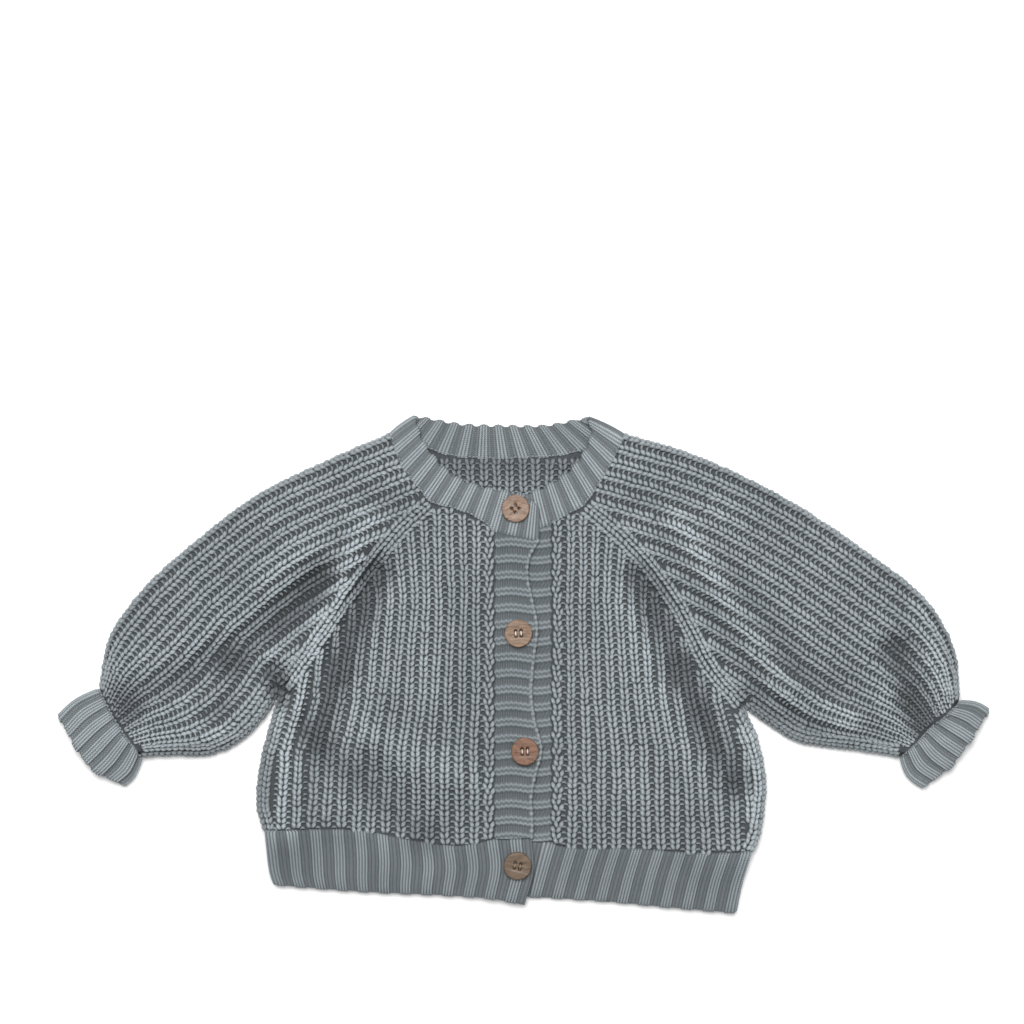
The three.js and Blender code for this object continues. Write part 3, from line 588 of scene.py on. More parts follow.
def wool_material(name, light, dark, ply, deep_shade=0.14):
    """Soft spun wool blend: matt, with short fibres that brighten it towards its edges, and plies that twist.

    ply is None on flat fine rib, whose UVs are millimetres, and the number of twists of a stitch leg elsewhere.
    The colour is mottled by flecks of fibre, and by the crown attribute it falls to a painted shade between the
    strands and is painted lighter on fold crests.
    """
    material, tree, shader = new_material(name)
    place = add_node(tree, "ShaderNodeTexCoord")
    cloud = add_node(tree, "ShaderNodeTexNoise", {"Scale": 0.038 / MM, "Detail": 3.0, "Roughness": 0.6},
                     Vector=place.outputs["Object"])
    # The mottling is 26 mm across. The flecks are 0.7 mm, coarser than real fibres, so that they show.
    flecks = add_node(tree, "ShaderNodeTexNoise", {"Scale": 1.5 / MM, "Detail": 2.0, "Roughness": 0.65},
                      Vector=place.outputs["Object"])
    mixed = add_node(tree, "ShaderNodeMath", {"operation": "MULTIPLY_ADD", 1: 0.45},
                     i0=cloud.outputs["Fac"], i2=flecks.outputs["Fac"])
    ramp = add_node(tree, "ShaderNodeValToRGB", i0=mixed.outputs[0])
    ramp.color_ramp.elements[0].position = 0.45
    ramp.color_ramp.elements[0].color = linear(dark)
    ramp.color_ramp.elements[1].position = 0.98
    ramp.color_ramp.elements[1].color = linear(light)
    # Painted shade and painted highlight: the crown attribute scales the colour, darkest between and under the
    # strands, lightest on the crests of folds.
    crown = add_node(tree, "ShaderNodeAttribute", {"attribute_name": "crown"})
    depth = add_node(tree, "ShaderNodeMapRange", {"From Min": 0.0, "From Max": 1.5, "To Min": deep_shade, "To Max": 1.55},
                     Value=crown.outputs["Fac"])
    shaded = add_node(tree, "ShaderNodeVectorMath", {"operation": "SCALE"}, i0=ramp.outputs["Color"],
                      Scale=depth.outputs[0])
    split = add_node(tree, "ShaderNodeSeparateXYZ", Vector=place.outputs["UV"])
    if ply is None:
        # Each fine column has stitches 1.15 mm tall: ticks that slant both ways from its middle.
        column = add_node(tree, "ShaderNodeMath", {"operation": "PINGPONG", 1: FINE_COLUMN / 2}, i0=split.outputs[0])
        slant = add_node(tree, "ShaderNodeMath", {"operation": "MULTIPLY_ADD", 1: 0.9},
                         i0=column.outputs[0], i2=split.outputs[1])
        phase = add_node(tree, "ShaderNodeMath", {"operation": "MULTIPLY", 1: 2 * np.pi / 1.15}, i0=slant.outputs[0])
        distance = 0.00035
    else:
        twist = add_node(tree, "ShaderNodeMath", {"operation": "MULTIPLY", 1: float(ply)}, i0=split.outputs[1])
        plies = add_node(tree, "ShaderNodeMath", {"operation": "MULTIPLY_ADD", 1: 3.0},
                         i0=split.outputs[0], i2=twist.outputs[0])
        phase = add_node(tree, "ShaderNodeMath", {"operation": "MULTIPLY", 1: 2 * np.pi}, i0=plies.outputs[0])
        distance = 0.00018
    wave = add_node(tree, "ShaderNodeMath", {"operation": "SINE"}, i0=phase.outputs[0])
    # Painted shade in the grooves: the colour darkens with the same wave as the bump, between the plies and between
    # the fine ticks.
    groove_shade = add_node(tree, "ShaderNodeMath", {"operation": "MULTIPLY_ADD", 1: 0.16 if ply is None else 0.05, 2: 0.9},
                    i0=wave.outputs[0])
    groove_shaded = add_node(tree, "ShaderNodeVectorMath", {"operation": "SCALE"}, i0=shaded.outputs[0],
                      Scale=groove_shade.outputs[0])
    tree.links.new(groove_shaded.outputs[0], shader.inputs["Base Color"])
    height = add_node(tree, "ShaderNodeMath", {"operation": "MULTIPLY_ADD", 1: 0.5},
                      i0=wave.outputs[0], i2=flecks.outputs["Fac"])
    bump = add_node(tree, "ShaderNodeBump", {"Strength": 0.8, "Distance": distance}, Height=height.outputs[0])
    tree.links.new(bump.outputs[0], shader.inputs["Normal"])
    shader.inputs["Roughness"].default_value = 0.92
    shader.inputs["Specular IOR Level"].default_value = 0.18
    shader.inputs["Sheen Weight"].default_value = 0.08
    shader.inputs["Sheen Roughness"].default_value = 0.55
    shader.inputs["Sheen Tint"].default_value = linear("#c9d2d6")
    return material


def wood_material(name, light, dark, turn):
    """Turned hardwood, lightly oiled: fine straight grain with darker pores and a soft gloss."""
    material, tree, shader = new_material(name)
    place = add_node(tree, "ShaderNodeTexCoord")
    grain_space = add_node(tree, "ShaderNodeMapping",
                           {"Rotation": (0, 0, np.radians(turn)), "Scale": (1.0, 3.2, 1.0)},
                           Vector=place.outputs["Object"])
    figure = add_node(tree, "ShaderNodeTexNoise", {"Scale": 0.13 / MM, "Detail": 3.0, "Distortion": 1.6},
                      Vector=grain_space.outputs[0])
    # The figure is 8 mm across and the pores 1 mm, both drawn out along the grain.
    pores = add_node(tree, "ShaderNodeTexNoise", {"Scale": 0.9 / MM, "Detail": 3.0, "Roughness": 0.7},
                     Vector=grain_space.outputs[0])
    grain = add_node(tree, "ShaderNodeMath", {"operation": "MULTIPLY_ADD", 1: 0.45, 2: 0.0},
                     i0=pores.outputs["Fac"])
    tree.links.new(figure.outputs["Fac"], grain.inputs[2])
    ramp = add_node(tree, "ShaderNodeValToRGB", i0=grain.outputs[0])
    ramp.color_ramp.elements[0].position = 0.5
    ramp.color_ramp.elements[0].color = linear(dark)
    ramp.color_ramp.elements[1].position = 0.86
    ramp.color_ramp.elements[1].color = linear(light)
    tree.links.new(ramp.outputs["Color"], shader.inputs["Base Color"])
    bump = add_node(tree, "ShaderNodeBump", {"Strength": 0.25, "Distance": 0.0002}, Height=grain.outputs[0])
    tree.links.new(bump.outputs[0], shader.inputs["Normal"])
    shader.inputs["Roughness"].default_value = 0.46
    return material


# ------------------------------------------------------------------ sizes and colours that a user would change

def length_setting(name, description, millimetres, least, most):
    """A length setting, kept in metres and given here in millimetres."""
    return bpy.props.FloatProperty(name=name, description=description, default=millimetres * MM, min=least * MM,
                                   max=most * MM, precision=5, unit="LENGTH", subtype="DISTANCE")


def colour_setting(name, description, hex_colour):
    """A colour setting: an sRGB hex value."""
    return bpy.props.StringProperty(name=name, description=description, default=hex_colour)


class KnitSettings(bpy.types.PropertyGroup):
    rib_pitch: length_setting("Rib pitch", "Spacing of the chunky ribs", 8.1, 4, 14)
    course: length_setting("Course", "Height of one chunky stitch", 3.05, 2, 6)
    hem_pitch: length_setting("Hem rib pitch", "Spacing of the welt's ribs", 12.15, 6, 20)
    cuff_pitch: length_setting("Cuff rib pitch", "Spacing of the cuffs' ribs", 9.2, 5, 16)
    neckband_pitch: length_setting("Neckband rib pitch", "Spacing of the neckband's ribs", 9.5, 5, 16)
    welt_pitch: length_setting("Band welt pitch", "Spacing of the front bands' welts", 8.9, 5, 14)
    yarn_light: colour_setting("Yarn", "Fibres of the chunky ribs", "#aeb5b9")
    yarn_dark: colour_setting("Yarn shade", "Flecks of the chunky ribs", "#879094")
    fine_light: colour_setting("Fine rib", "Fibres of the welts and front bands", "#a2aaae")
    fine_dark: colour_setting("Fine rib shade", "Flecks of the welts and front bands", "#7f888c")
    neck_light: colour_setting("Neckband and cuffs", "Fibres of the neckband and cuffs", "#b6bec2")
    neck_dark: colour_setting("Neckband and cuffs shade", "Flecks of the neckband and cuffs", "#8f989c")


class ButtonSettings(bpy.types.PropertyGroup):
    diameter: length_setting("Diameter", "Button diameter", 15, 8, 30)
    thickness: length_setting("Thickness", "Button thickness", 3, 1.5, 6)
    hole: length_setting("Hole", "Diameter of each sewing hole", 1.5, 1, 3)
    hole_spacing: length_setting("Hole spacing", "Side of the square of sewing holes", 2.9, 2, 6)


class StageSettings(bpy.types.PropertyGroup):
    lens: bpy.props.FloatProperty(name="Lens", description="Focal length", default=85, subtype="DISTANCE_CAMERA")
    frame_width: length_setting("Frame width", "Width of the picture at the garment", 558, 300, 1500)
    centre_x: length_setting("Centre X", "Middle of the picture", -6.0, -500, 500)
    centre_y: length_setting("Centre Y", "Middle of the picture", 83.7, -500, 500)
    floor: colour_setting("Floor", "Colour of the floor", "#fbfbfb")


class Millimetres:
    """Reads a settings group: its lengths come out in millimetres, and anything else as it is."""

    def __init__(self, group):
        self.group = group

    def __getattr__(self, name):
        value = getattr(self.group, name)
        return value / MM if self.group.bl_rna.properties[name].unit == "LENGTH" else value


LOOKS = {}


def materials(context):
    """The garment's materials, made once."""
    if not LOOKS:
        knit = Millimetres(context.scene.knit_settings)
        LOOKS["wool"] = wool_material("wool_blend_spun_chunky", knit.yarn_light, knit.yarn_dark, 2)
        LOOKS["fine"] = wool_material("wool_blend_fine_rib", knit.fine_light, knit.fine_dark, None, 0.2)
        LOOKS["neck"] = wool_material("wool_blend_fine_rib_neckband", knit.neck_light, knit.neck_dark, None, 0.2)
    return LOOKS


def finish_piece(piece, material, nodes=()):
    """Gives a piece its material and its slot, rides it on the body and says which nodes it replaces."""
    piece.data.materials.clear()
    piece.data.materials.append(material)
    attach(piece, "root")
    if nodes:
        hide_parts(*nodes)
    return piece


# ------------------------------------------------------------------ chunky rib pieces

def halve_edges(points, triangles, sign):
    """Cuts each triangle in four. A new point whose edge lies on one face is set on that face's surface."""
    edges = np.sort(np.concatenate([triangles[:, [0, 1]], triangles[:, [1, 2]], triangles[:, [2, 0]]]), axis=1)
    edges, index = np.unique(edges, axis=0, return_inverse=True)
    middle = points[edges].mean(1)
    face_of = np.abs(surface_heights(points[:, :2], sign, False) - points[:, 2]).argmin(0)
    at_middle = surface_heights(middle[:, :2], sign, False)
    first, second = face_of[edges].T
    middle[:, 2] = np.where(first == second, at_middle[first, np.arange(len(middle))], middle[:, 2])
    d, e, f = index.reshape(3, -1) + len(points)
    a, b, c = triangles.T
    cut = np.concatenate([np.stack(corner, -1) for corner in ((a, d, f), (d, b, e), (f, e, c), (d, e, f))])
    return np.vstack([points, middle]), cut


def ground_cloth(context, node, name, sign, depth, inner_depth):
    """The cloth beneath the stitches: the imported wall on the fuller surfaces, with its outer face drawn in.

    Each vertex moves against its face's normal. Next to a folded edge the mesh's own normal is used.
    """
    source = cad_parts[node].data
    count = len(source.vertices)
    co = np.empty(count * 3, np.float32)
    source.vertices.foreach_get("co", co)
    corners = np.empty(len(source.loops), np.int32)
    source.loops.foreach_get("vertex_index", corners)
    points, index = np.unique(np.round(co.reshape(-1, 3).astype(float) / MM, 3), axis=0, return_inverse=True)
    triangles = index.reshape(-1)[corners].reshape(-1, 3)
    for _ in range(1 if node == "back_panel" else 2):
        points, triangles = halve_edges(points, triangles, sign)
    face_of = np.abs(surface_heights(points[:, :2], sign, False) - points[:, 2]).argmin(0)
    every = np.arange(len(points))
    seated, normals = seat_all(points[:, :2], sign)
    points, normal = seated[face_of, every], normals[face_of, every]
    a, b, c = (points[triangles[:, k]] for k in range(3))
    face_normal = np.cross(b - a, c - a)
    own = np.zeros_like(points)
    for k in range(3):
        np.add.at(own, triangles[:, k], face_normal)
    own /= np.maximum(np.linalg.norm(own, axis=1, keepdims=True), 1e-9)
    normal = np.where(outline_distance(points[:, :2])[:, None] < 1.0, own, normal)
    outer = (face_of == 0) | (face_of == 3)
    moved = points - normal * np.where(outer, depth, inner_depth)[:, None]
    # The ground's crown share is a painted shade, dark as the hollows between the stitches, times the folds' painted
    # shade and highlight.
    return to_mesh(name, moved, np.zeros((0, 4), int), triangles, moved[:, :2], 0.12 * fold_painted_light(points[:, :2]))


def inside(xy, outline):
    """Even-odd test of points against a closed line."""
    x, y = xy[..., 0], xy[..., 1]
    result = np.zeros(x.shape, bool)
    for (x1, y1), (x2, y2) in zip(outline, np.roll(outline, -1, axis=0)):
        if y1 != y2:
            result ^= ((y1 > y) != (y2 > y)) & (x < (x2 - x1) * (y - y1) / (y2 - y1) + x1)
    return result


def columns_on_face(xy, along, keep, sign, face, scale, seed, template, sink=0.9):
    """Places a template at the kept plan points, a little below the face.

    It sinks deeper where it lies on the floor, and is flatter inside the neck, so that it stays in the wall.
    """
    sink += {"lower_outer": 0.4, "lower_inner": -0.6}.get(face, 0)
    points, normals = seat(xy[keep], sign, face)
    direction = np.concatenate([along[keep], np.zeros((int(keep.sum()), 1))], -1)
    size = np.broadcast_to(scale, (*xy.shape[:-1], 3))[keep] * [1, 1, 0.6 if face == "lower_inner" else 1]
    return place_template(template, points - normals * sink, direction, normals, size, seed,
                          openness(xy[keep], face))


def chain_beside(curve, inset, towards, spacing, sign, face, seed, template, downwards=True, scale=1.0, sink=0.9,
                 trim=(0.0, 0.0)):
    """A column of stitches along a curve, moved sideways by the inset to the side where the point towards lies."""
    sink += 0.4 if face == "lower_outer" else 0
    count = max(int(length_of(curve) * (1 - sum(trim)) / spacing), 2)
    share = trim[0] + (np.arange(count) + 0.5) / count * (1 - sum(trim))
    run = at(curve, share + 0.004) - at(curve, share - 0.004)
    run /= np.linalg.norm(run, axis=-1, keepdims=True)
    sideways = np.stack([-run[:, 1], run[:, 0]], -1)
    middle = count // 2
    if (sideways[middle] * (np.array(towards) - at(curve, share)[middle])).sum() < 0:
        sideways = -sideways
    xy = at(curve, share) + inset * sideways
    run = np.concatenate([run, np.zeros((count, 1))], -1) * (1 if downwards else -1)
    points, normals = seat(xy, sign, face)
    size = np.full((count, 3), float(scale))
    return place_template(template, points - normals * sink, run, normals, size, seed, openness(xy, face))


RIB_PITCH_SHARE = np.array([[-100, 1.0], [-46, 0.975], [-19, 0.90], [36, 0.825], [80, 0.88], [140, 0.9]])


def body_columns(knit, sign, first, number):
    """Plan points of a body piece's ribs: x is the first place plus rib number times a pitch that narrows upwards."""
    y = np.arange(-102, 124, knit.course)
    pitch = knit.rib_pitch * np.interp(y, RIB_PITCH_SHARE[:, 0], RIB_PITCH_SHARE[:, 1])
    slope = np.gradient(pitch, y)
    x = sign * (first + number[:, None] * pitch[None])
    wobble = 0.25 * np.sin(y[None] * 0.09 + number[:, None] * 1.7)
    if first:
        # The columns beside the band are pulled in and out by its welts.
        wobble = wobble + 0.75 * np.sin(y[None] * 2 * np.pi / knit.welt_pitch) * np.exp(-number[:, None] / 0.7)
    xy = np.stack([x + wobble, np.broadcast_to(y, x.shape)], -1)
    along = np.stack([sign * number[:, None] * slope[None], np.ones_like(x)], -1)
    return xy, along, sign * pitch[None] / 2 * np.ones_like(x)


def add_rows(parts, xy, along, gap_shift, kept, sign, face, seed, fine):
    """Adds the V columns, and on a face that shows, the purl bumps in the hollows beside them.

    kept(points, spare) tells which points are far enough from the piece's edges; a bump needs less room.
    """
    stitch = stitch_template(5, 5) if fine else stitch_template(4, 3)
    share = np.abs(gap_shift) / 4.05
    scale = np.stack([1.12 * share, np.ones_like(share), np.ones_like(share)], -1)
    parts.append(columns_on_face(xy, along, kept(xy, 0.0), sign, face, scale, seed, stitch))
    if fine:
        beside = xy + np.stack([gap_shift, np.full_like(gap_shift, 1.4)], -1)
        parts.append(columns_on_face(beside, along, kept(beside, 2.0), sign, face, 1.0, seed + 1, bump_template(),
                                     sink=1.1))


def make_front(context, key):
    """A front: vertical ribs that fan towards the side, a column along the raglan seam and two round the flank."""
    knit, side = Millimetres(context.scene.knit_settings), SIDES[key]
    sign = side["sign"]
    xy, along, shift = body_columns(knit, sign, BAND_SEAM + 3.6, np.arange(17))
    band_line = straight(side["hem_front"][-1], side["neck_front"][-1])
    outline = np.vstack([side["flank"], side["raglan_front"], side["neck_front"], band_line[::-1],
                         side["hem_front"][::-1]])

    def kept(points, spare):
        return (inside(points, outline) & (line_distance(points, side["raglan_front"]) > 4.5 - spare)
                & (line_distance(points, side["flank"]) > 7.2 - spare)
                & (line_distance(points, side["hem_front"]) > 0.6)
                & (line_distance(points, side["neck_front"]) > 0.9)
                & (np.abs(points[..., 0]) > BAND_SEAM + 0.8))
    parts = []
    add_rows(parts, xy, along, shift, kept, sign, "upper_outer", 11 + sign, True)
    for curve, inset, trim in ((side["raglan_front"], 2.5, (0.01, 0.01)), (side["flank"], 0.5, (0.0, 0.01)),
                               (side["flank"], 4.6, (0.0, 0.02))):
        parts.append(chain_beside(curve, inset, (60 * sign, -20), knit.course, sign, "upper_outer", 31 + sign,
                                  stitch_template(5, 5), trim=trim))
    return parts


def make_back(context):
    """The back: the fronts' ribs carried across the underside, and its inner face where the neck opens."""
    knit = Millimetres(context.scene.knit_settings)
    parts = []
    for side in SIDES.values():
        sign = side["sign"]
        xy, along, shift = body_columns(knit, sign, 0, np.arange(19))
        middle = -1 if sign > 0 else 1
        outline = np.vstack([side["flank"], side["raglan_back"], [[-sign, 118]], [[-sign, -97]]])
        away = [(side["raglan_back"], 4.5), (side["flank"], 7.8), (NECK_BACK_SEAM, 0.9), (BACK_HEM_TOP, 0.6)]

        def kept(points, spare):
            keep = inside(points, outline) & (points[..., 1] < 113) & (points[..., 0] * sign > middle)
            for curve, distance in away:
                keep &= line_distance(points, curve) > distance
            return keep

        def shown(points, spare):
            return ((points[..., 1] > 76) & (points[..., 1] < 111.5) & (np.abs(points[..., 0]) < 44)
                    & (points[..., 0] * sign > middle)
                    & (line_distance(points, side["raglan_back"]) > 4.5 - spare))
        add_rows(parts, xy, along, shift, kept, sign, "lower_outer", 51 + sign, False)
        stitch = stitch_template(4, 3)
        for curve, inset, trim in ((side["raglan_back"], 2.5, (0.01, 0.01)), (side["flank"], 0.5, (0.0, 0.01)),
                                   (side["flank"], 4.6, (0.0, 0.02))):
            parts.append(chain_beside(curve, inset, (60 * sign, -20), knit.course, sign, "lower_outer", 61 + sign,
                                      stitch, trim=trim))
        add_rows(parts, xy, along, shift, shown, sign, "lower_inner", 71 + sign, True)
    return parts


def sleeve_patches(side):
    """The sleeve's front and back as patches: from the top fold to the raglan and underarm, neck to cuff."""
    split = side["top_at_underarm"]

    def patch(raglan, neck):
        return Patch(on(side["shoulder"]), in_turn(side[raglan][::-1], side["underarm"], split),
                     on(side[neck]), on(side["cuff_seam"]))
    return patch("raglan_front", "neck_sleeve_front"), patch("raglan_back", "neck_sleeve_back")


def make_sleeve(context, key):
    """A sleeve: ribs parallel to its top fold, front and back, that end at the raglan and close up at the cuff."""
    knit, side = Millimetres(context.scene.knit_settings), SIDES[key]
    sign, split = side["sign"], side["top_at_underarm"]
    top_length = length_of(side["shoulder"])
    v = (np.arange(int(top_length / knit.course)) + 0.5) * knit.course / top_length
    parts = []
    faces = zip(sleeve_patches(side), ("upper_outer", "lower_outer"), ("raglan_front", "raglan_back"),
                ("neck_sleeve_front", "neck_sleeve_back"), (2.2, 6.25))
    for patch, face, raglan, neck, first in faces:
        width = patch.width(v)
        crown = cover_height(patch.a(v), sign) + WALL / 2
        reach = roll_reach(crown)
        widest = float(patch.width(np.array([split]))[0])
        closing = np.where(v > split, width / widest, 1.0)
        number = np.arange(14)[:, None]

        def place(extra, back):
            """Plan points, shares across and the run of the columns, for a shift across and one down the cloth."""
            along_cloth = (first + extra + number * knit.rib_pitch) * closing[None]
            distance = row_distance(along_cloth, width, reach)
            rows = np.broadcast_to(v - back / top_length, distance.shape)
            step = 0.004
            run = patch(distance / width, rows - step) - patch(distance / width, rows + step)
            speed = np.linalg.norm(run, axis=-1) / (2 * step * top_length)
            return patch(distance / width, rows), distance, run / (speed * 2 * step * top_length)[..., None], speed
        xy, distance, run, speed = place(0.0, 0.0)
        below = v[None] > split

        def kept(points, distance, spare):
            return ((distance < width - np.where(below, 6.6 - spare, 1.0))
                    & (line_distance(points, side[raglan]) > 4.5 - spare)
                    & (line_distance(points, side[neck]) > 0.9) & (line_distance(points, side["cuff_seam"]) > 0.6))
        squeeze = np.clip(closing[None] * np.ones_like(distance), 0.55, 1)
        scale = np.stack([1.1 * squeeze, np.clip(speed, 0.75, 1.05), (1 + squeeze) / 2], -1)
        fine = face == "upper_outer"
        stitch = stitch_template(5, 5) if fine else stitch_template(4, 3)
        parts.append(columns_on_face(xy, run, kept(xy, distance, 0), sign, face, scale, 81 + sign, stitch))
        if fine:
            beside, distance, run, _ = place(knit.rib_pitch / 2, 1.4)
            parts.append(columns_on_face(beside, run, kept(beside, distance, 2.0), sign, face, scale, 91 + sign,
                                         bump_template(), 1.1))
        parts.append(chain_beside(side[raglan], 2.5, (170 * sign, 40), knit.course, sign, face, 95 + sign, stitch,
                                  trim=(0.01, 0.01)))
        for inset, trim in ((0.5, (0.01, 0.01)), (4.6, (0.02, 0.02))):
            parts.append(chain_beside(side["underarm"], inset, (170 * sign, 30), knit.course, sign, face, 97 + sign,
                                      stitch, downwards=False, trim=trim))
    return parts


def add_chunky_piece(context, node, sign, parts):
    """Adds a piece's ground cloth and its stitches."""
    look = materials(context)
    depths = (1.5, 0.9) if node == "back_panel" else (1.6, 0.0)
    ground = finish_piece(ground_cloth(context, node, node + "_cloth", sign, *depths), look["wool"], [node])
    stitches = to_mesh(node + "_stitches", *merge_parts(parts))
    finish_piece(stitches, look["wool"])


# ------------------------------------------------------------------ fine rib pieces

def rib_relief(s, pitch, raised, line_pitch, lines, height=1.0):
    """Height and crown share across fine ribs: a rise of fine columns, then a hollow of flatter ones. The crown share
    is a painted shade, lowest in the hollow and between the columns.
    """
    within = (s % pitch) - pitch / 2
    rise = smoothstep(raised / 2 + 0.5 - np.abs(within), 0, 1.0)
    column = np.abs(np.cos(np.pi * within / line_pitch + (0 if lines % 2 else np.pi / 2)))
    relief = height * (rise - 0.6) + (0.25 + 0.45 * rise) * column
    crown = rise * (0.12 + 0.86 * column ** 1.2) + (1 - rise) * (0.1 + 0.3 * column)
    return relief, crown


def wall_mesh(name, outer, inner, normals, relief, crown, uv, inner_relief=None, round_ends=(1.0, 1.0)):
    """A closed wall: the outer face with its relief, rounded edges, and the inner face, capped at both ends.

    outer and inner are grids, rows along the piece and columns across it. Each long edge turns through a half
    circle of the wall's thickness; round_ends says how far each bulges, as a share of that half circle.
    """
    count = outer.shape[1]
    rise = outer + normals * relief[..., None]
    inner_columns = np.arange(count) if inner_relief is not None else np.linspace(0, count - 1, 5).astype(int)
    under = inner[:, inner_columns]
    if inner_relief is not None:
        under = under - normals * inner_relief[..., None]

    def edge(column, neighbour, bulge):
        middle = (outer[:, column] + inner[:, column]) / 2
        half = (outer[:, column] - inner[:, column]) / 2
        thick = np.linalg.norm(half, axis=-1, keepdims=True)
        away = outer[:, column] - outer[:, neighbour]
        away /= np.linalg.norm(away, axis=-1, keepdims=True)
        turns = np.radians([45, 90, 135])
        lift = relief[:, column, None]
        return np.stack([middle + (half + normals[:, column] * lift * 0.5) * np.cos(turn)
                         + away * (thick + lift * 0.5) * bulge * np.sin(turn) for turn in turns], 1)

    far = edge(-1, -2, round_ends[1])
    near = edge(0, 1, round_ends[0])[:, ::-1]
    loop = np.concatenate([rise, far, under[:, ::-1], near], 1)
    rows, columns = loop.shape[:2]
    i, j = np.meshgrid(np.arange(rows - 1), np.arange(columns), indexing="ij")
    k = (j + 1) % columns
    quads = np.stack([i * columns + j, (i + 1) * columns + j, (i + 1) * columns + k, i * columns + k], -1)
    quads = quads.reshape(-1, 4)
    centres = loop[[0, -1]].mean(1)
    vertices = np.vstack([loop.reshape(-1, 3), centres])
    ring = np.arange(columns)
    following = (ring + 1) % columns
    base = (rows - 1) * columns
    caps = np.vstack([np.stack([np.full(columns, rows * columns), ring, following], -1),
                      np.stack([np.full(columns, rows * columns + 1), base + following, base + ring], -1)])
    edge_uv = np.repeat(uv[:, -1:], 3, 1)
    start_uv = np.repeat(uv[:, :1], 3, 1)
    uv_loop = np.concatenate([uv, edge_uv, uv[:, inner_columns][:, ::-1], start_uv], 1).reshape(-1, 2)
    uv_all = np.vstack([uv_loop, np.zeros((2, 2))])
    first = vertices[quads[:, 0]]
    crossed = np.cross(vertices[quads[:, 1]] - first, vertices[quads[:, 2]] - first)
    volume = (first * crossed).sum()
    if volume < 0:
        quads, caps = quads[:, ::-1], caps[:, ::-1]
    # Painted shade: the rounded edges take a little less than the crown share beside them, and the end caps less
    # still.
    far, near = (np.repeat(crown[:, [k]] * 0.8, 3, 1) for k in (-1, 0))
    share = np.concatenate([crown, far, crown[:, inner_columns][:, ::-1], near], 1).ravel()
    return to_mesh(name, vertices, quads, caps, uv_all, np.concatenate([share, [0.3, 0.3]]))


def grid_normals(points, upwards):
    """Unit normals of a grid from its own slopes, turned to point up or down."""
    down_rows = np.gradient(points, axis=0)
    across = np.gradient(points, axis=1)
    normal = np.cross(down_rows, across)
    normal /= np.maximum(np.linalg.norm(normal, axis=-1, keepdims=True), 1e-9)
    middle = normal[len(normal) // 2, points.shape[1] // 2, 2]
    return normal if (middle > 0) == upwards else -normal


def lay(xy, sign, face):
    """Plan points set on a face."""
    return np.concatenate([xy, surface_height(xy, sign, face)[..., None]], -1)


def add_fine_piece(context, piece, node, flat, rests_on):
    """Finishes a fine rib piece."""
    look = "neck" if node == "neckband" or "cuff" in node else "fine"
    finish_piece(piece, materials(context)[look], [node])
    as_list(rests_on)


def make_hem(context, node, patch, sign, face, rolled):
    """A welt: ribs that run from its free edge to its seam, over the rolled side."""
    knit = Millimetres(context.scene.knit_settings)
    length = float(patch.width(np.array([0.5]))[0])
    reach = 5.2
    extra = 0.35 * reach * sum(rolled)
    s = np.linspace(0.25, length + extra - 0.25, int((length + extra) / 0.3))
    distance = row_distance(s, length, reach if rolled[0] else 0.01, reach if rolled[1] else None)
    v = np.linspace(0.045, 0.995, 10)
    u = np.clip(distance / length, 0, 1)
    xy = patch(u[:, None] * np.ones_like(v), np.ones_like(u)[:, None] * v)
    outer = lay(xy, sign, face)
    normals = grid_normals(outer, face.startswith("upper"))
    inner = outer - normals * WALL * 0.96
    outer = outer - normals * (0.4 if face == "upper_outer" else 1.0)
    height = np.linalg.norm(xy[:, -1] - xy[:, 0], axis=-1).mean()
    uv = np.stack([s[:, None] * np.ones_like(v), np.ones_like(s)[:, None] * v * height], -1)
    relief, crown = (part[:, None] * np.ones_like(v) for part in rib_relief(s, knit.hem_pitch, 6.4, FINE_COLUMN, 4))
    # The folds' painted shade and painted highlight on the crown share.
    crown = crown * openness(xy, face)
    return wall_mesh(node + "_rib", outer, inner, normals, relief, crown, uv, round_ends=(0.9, 0.5))


def front_hem_patch(side):
    """A front welt as a patch: from the side to its free end, and from its edge up to its seam."""
    seam_line = side["hem_front"]
    end = side["hem_end"]
    return Patch(on(side["hem_side"]), on(end), on(side["hem_edge"]),
                 in_turn(seam_line, straight(seam_line[-1], end[-1]), 0.87))


def make_cuff(context, key):
    """A cuff: one ring of rib from the underside seam over the front, round the top fold and back beneath."""
    knit, side = Millimetres(context.scene.knit_settings), SIDES[key]
    patch = Patch(on(side["cuff_top"]), on(side["cuff_low"]), on(side["cuff_seam"]), on(side["cuff_end"]))
    v = np.linspace(0.0, 0.95, 12)
    width = float(patch.width(np.array([0.5]))[0])
    reach = 5.6
    full = width + 0.7 * reach
    s = np.linspace(0.3, full - 0.3, int(full / 0.33))
    distance = row_distance(s, width, reach, reach)
    u = np.clip(distance / width, 0, 1)
    xy = patch(u[:, None] * np.ones_like(v), np.ones_like(u)[:, None] * v)
    top, under = lay(xy, side["sign"], "upper_outer"), lay(xy, side["sign"], "lower_outer")
    outer = np.concatenate([top[::-1], under])
    normals = np.concatenate([grid_normals(top, True)[::-1], grid_normals(under, False)])
    place = np.concatenate([s[::-1], -s]) + 3.0
    flare = smoothstep(v, 0.35, 1.0) * 0.9
    relief, crown = rib_relief(place[:, None] * np.ones_like(v), knit.cuff_pitch, 6.4, 1.55, 4, 1.6)
    relief = relief + np.sin(place[:, None] * np.pi / knit.cuff_pitch) * flare
    relief[:, 0] *= 0.3
    uv = np.stack([place[:, None] * np.ones_like(v), np.ones_like(place)[:, None] * v * 25], -1)
    inner = outer - normals * WALL * 0.9
    outer = outer - normals * 0.6
    return wall_mesh("cuff_" + key + "_rib", outer, inner, normals, relief, crown, uv, round_ends=(0.5, 0.9))


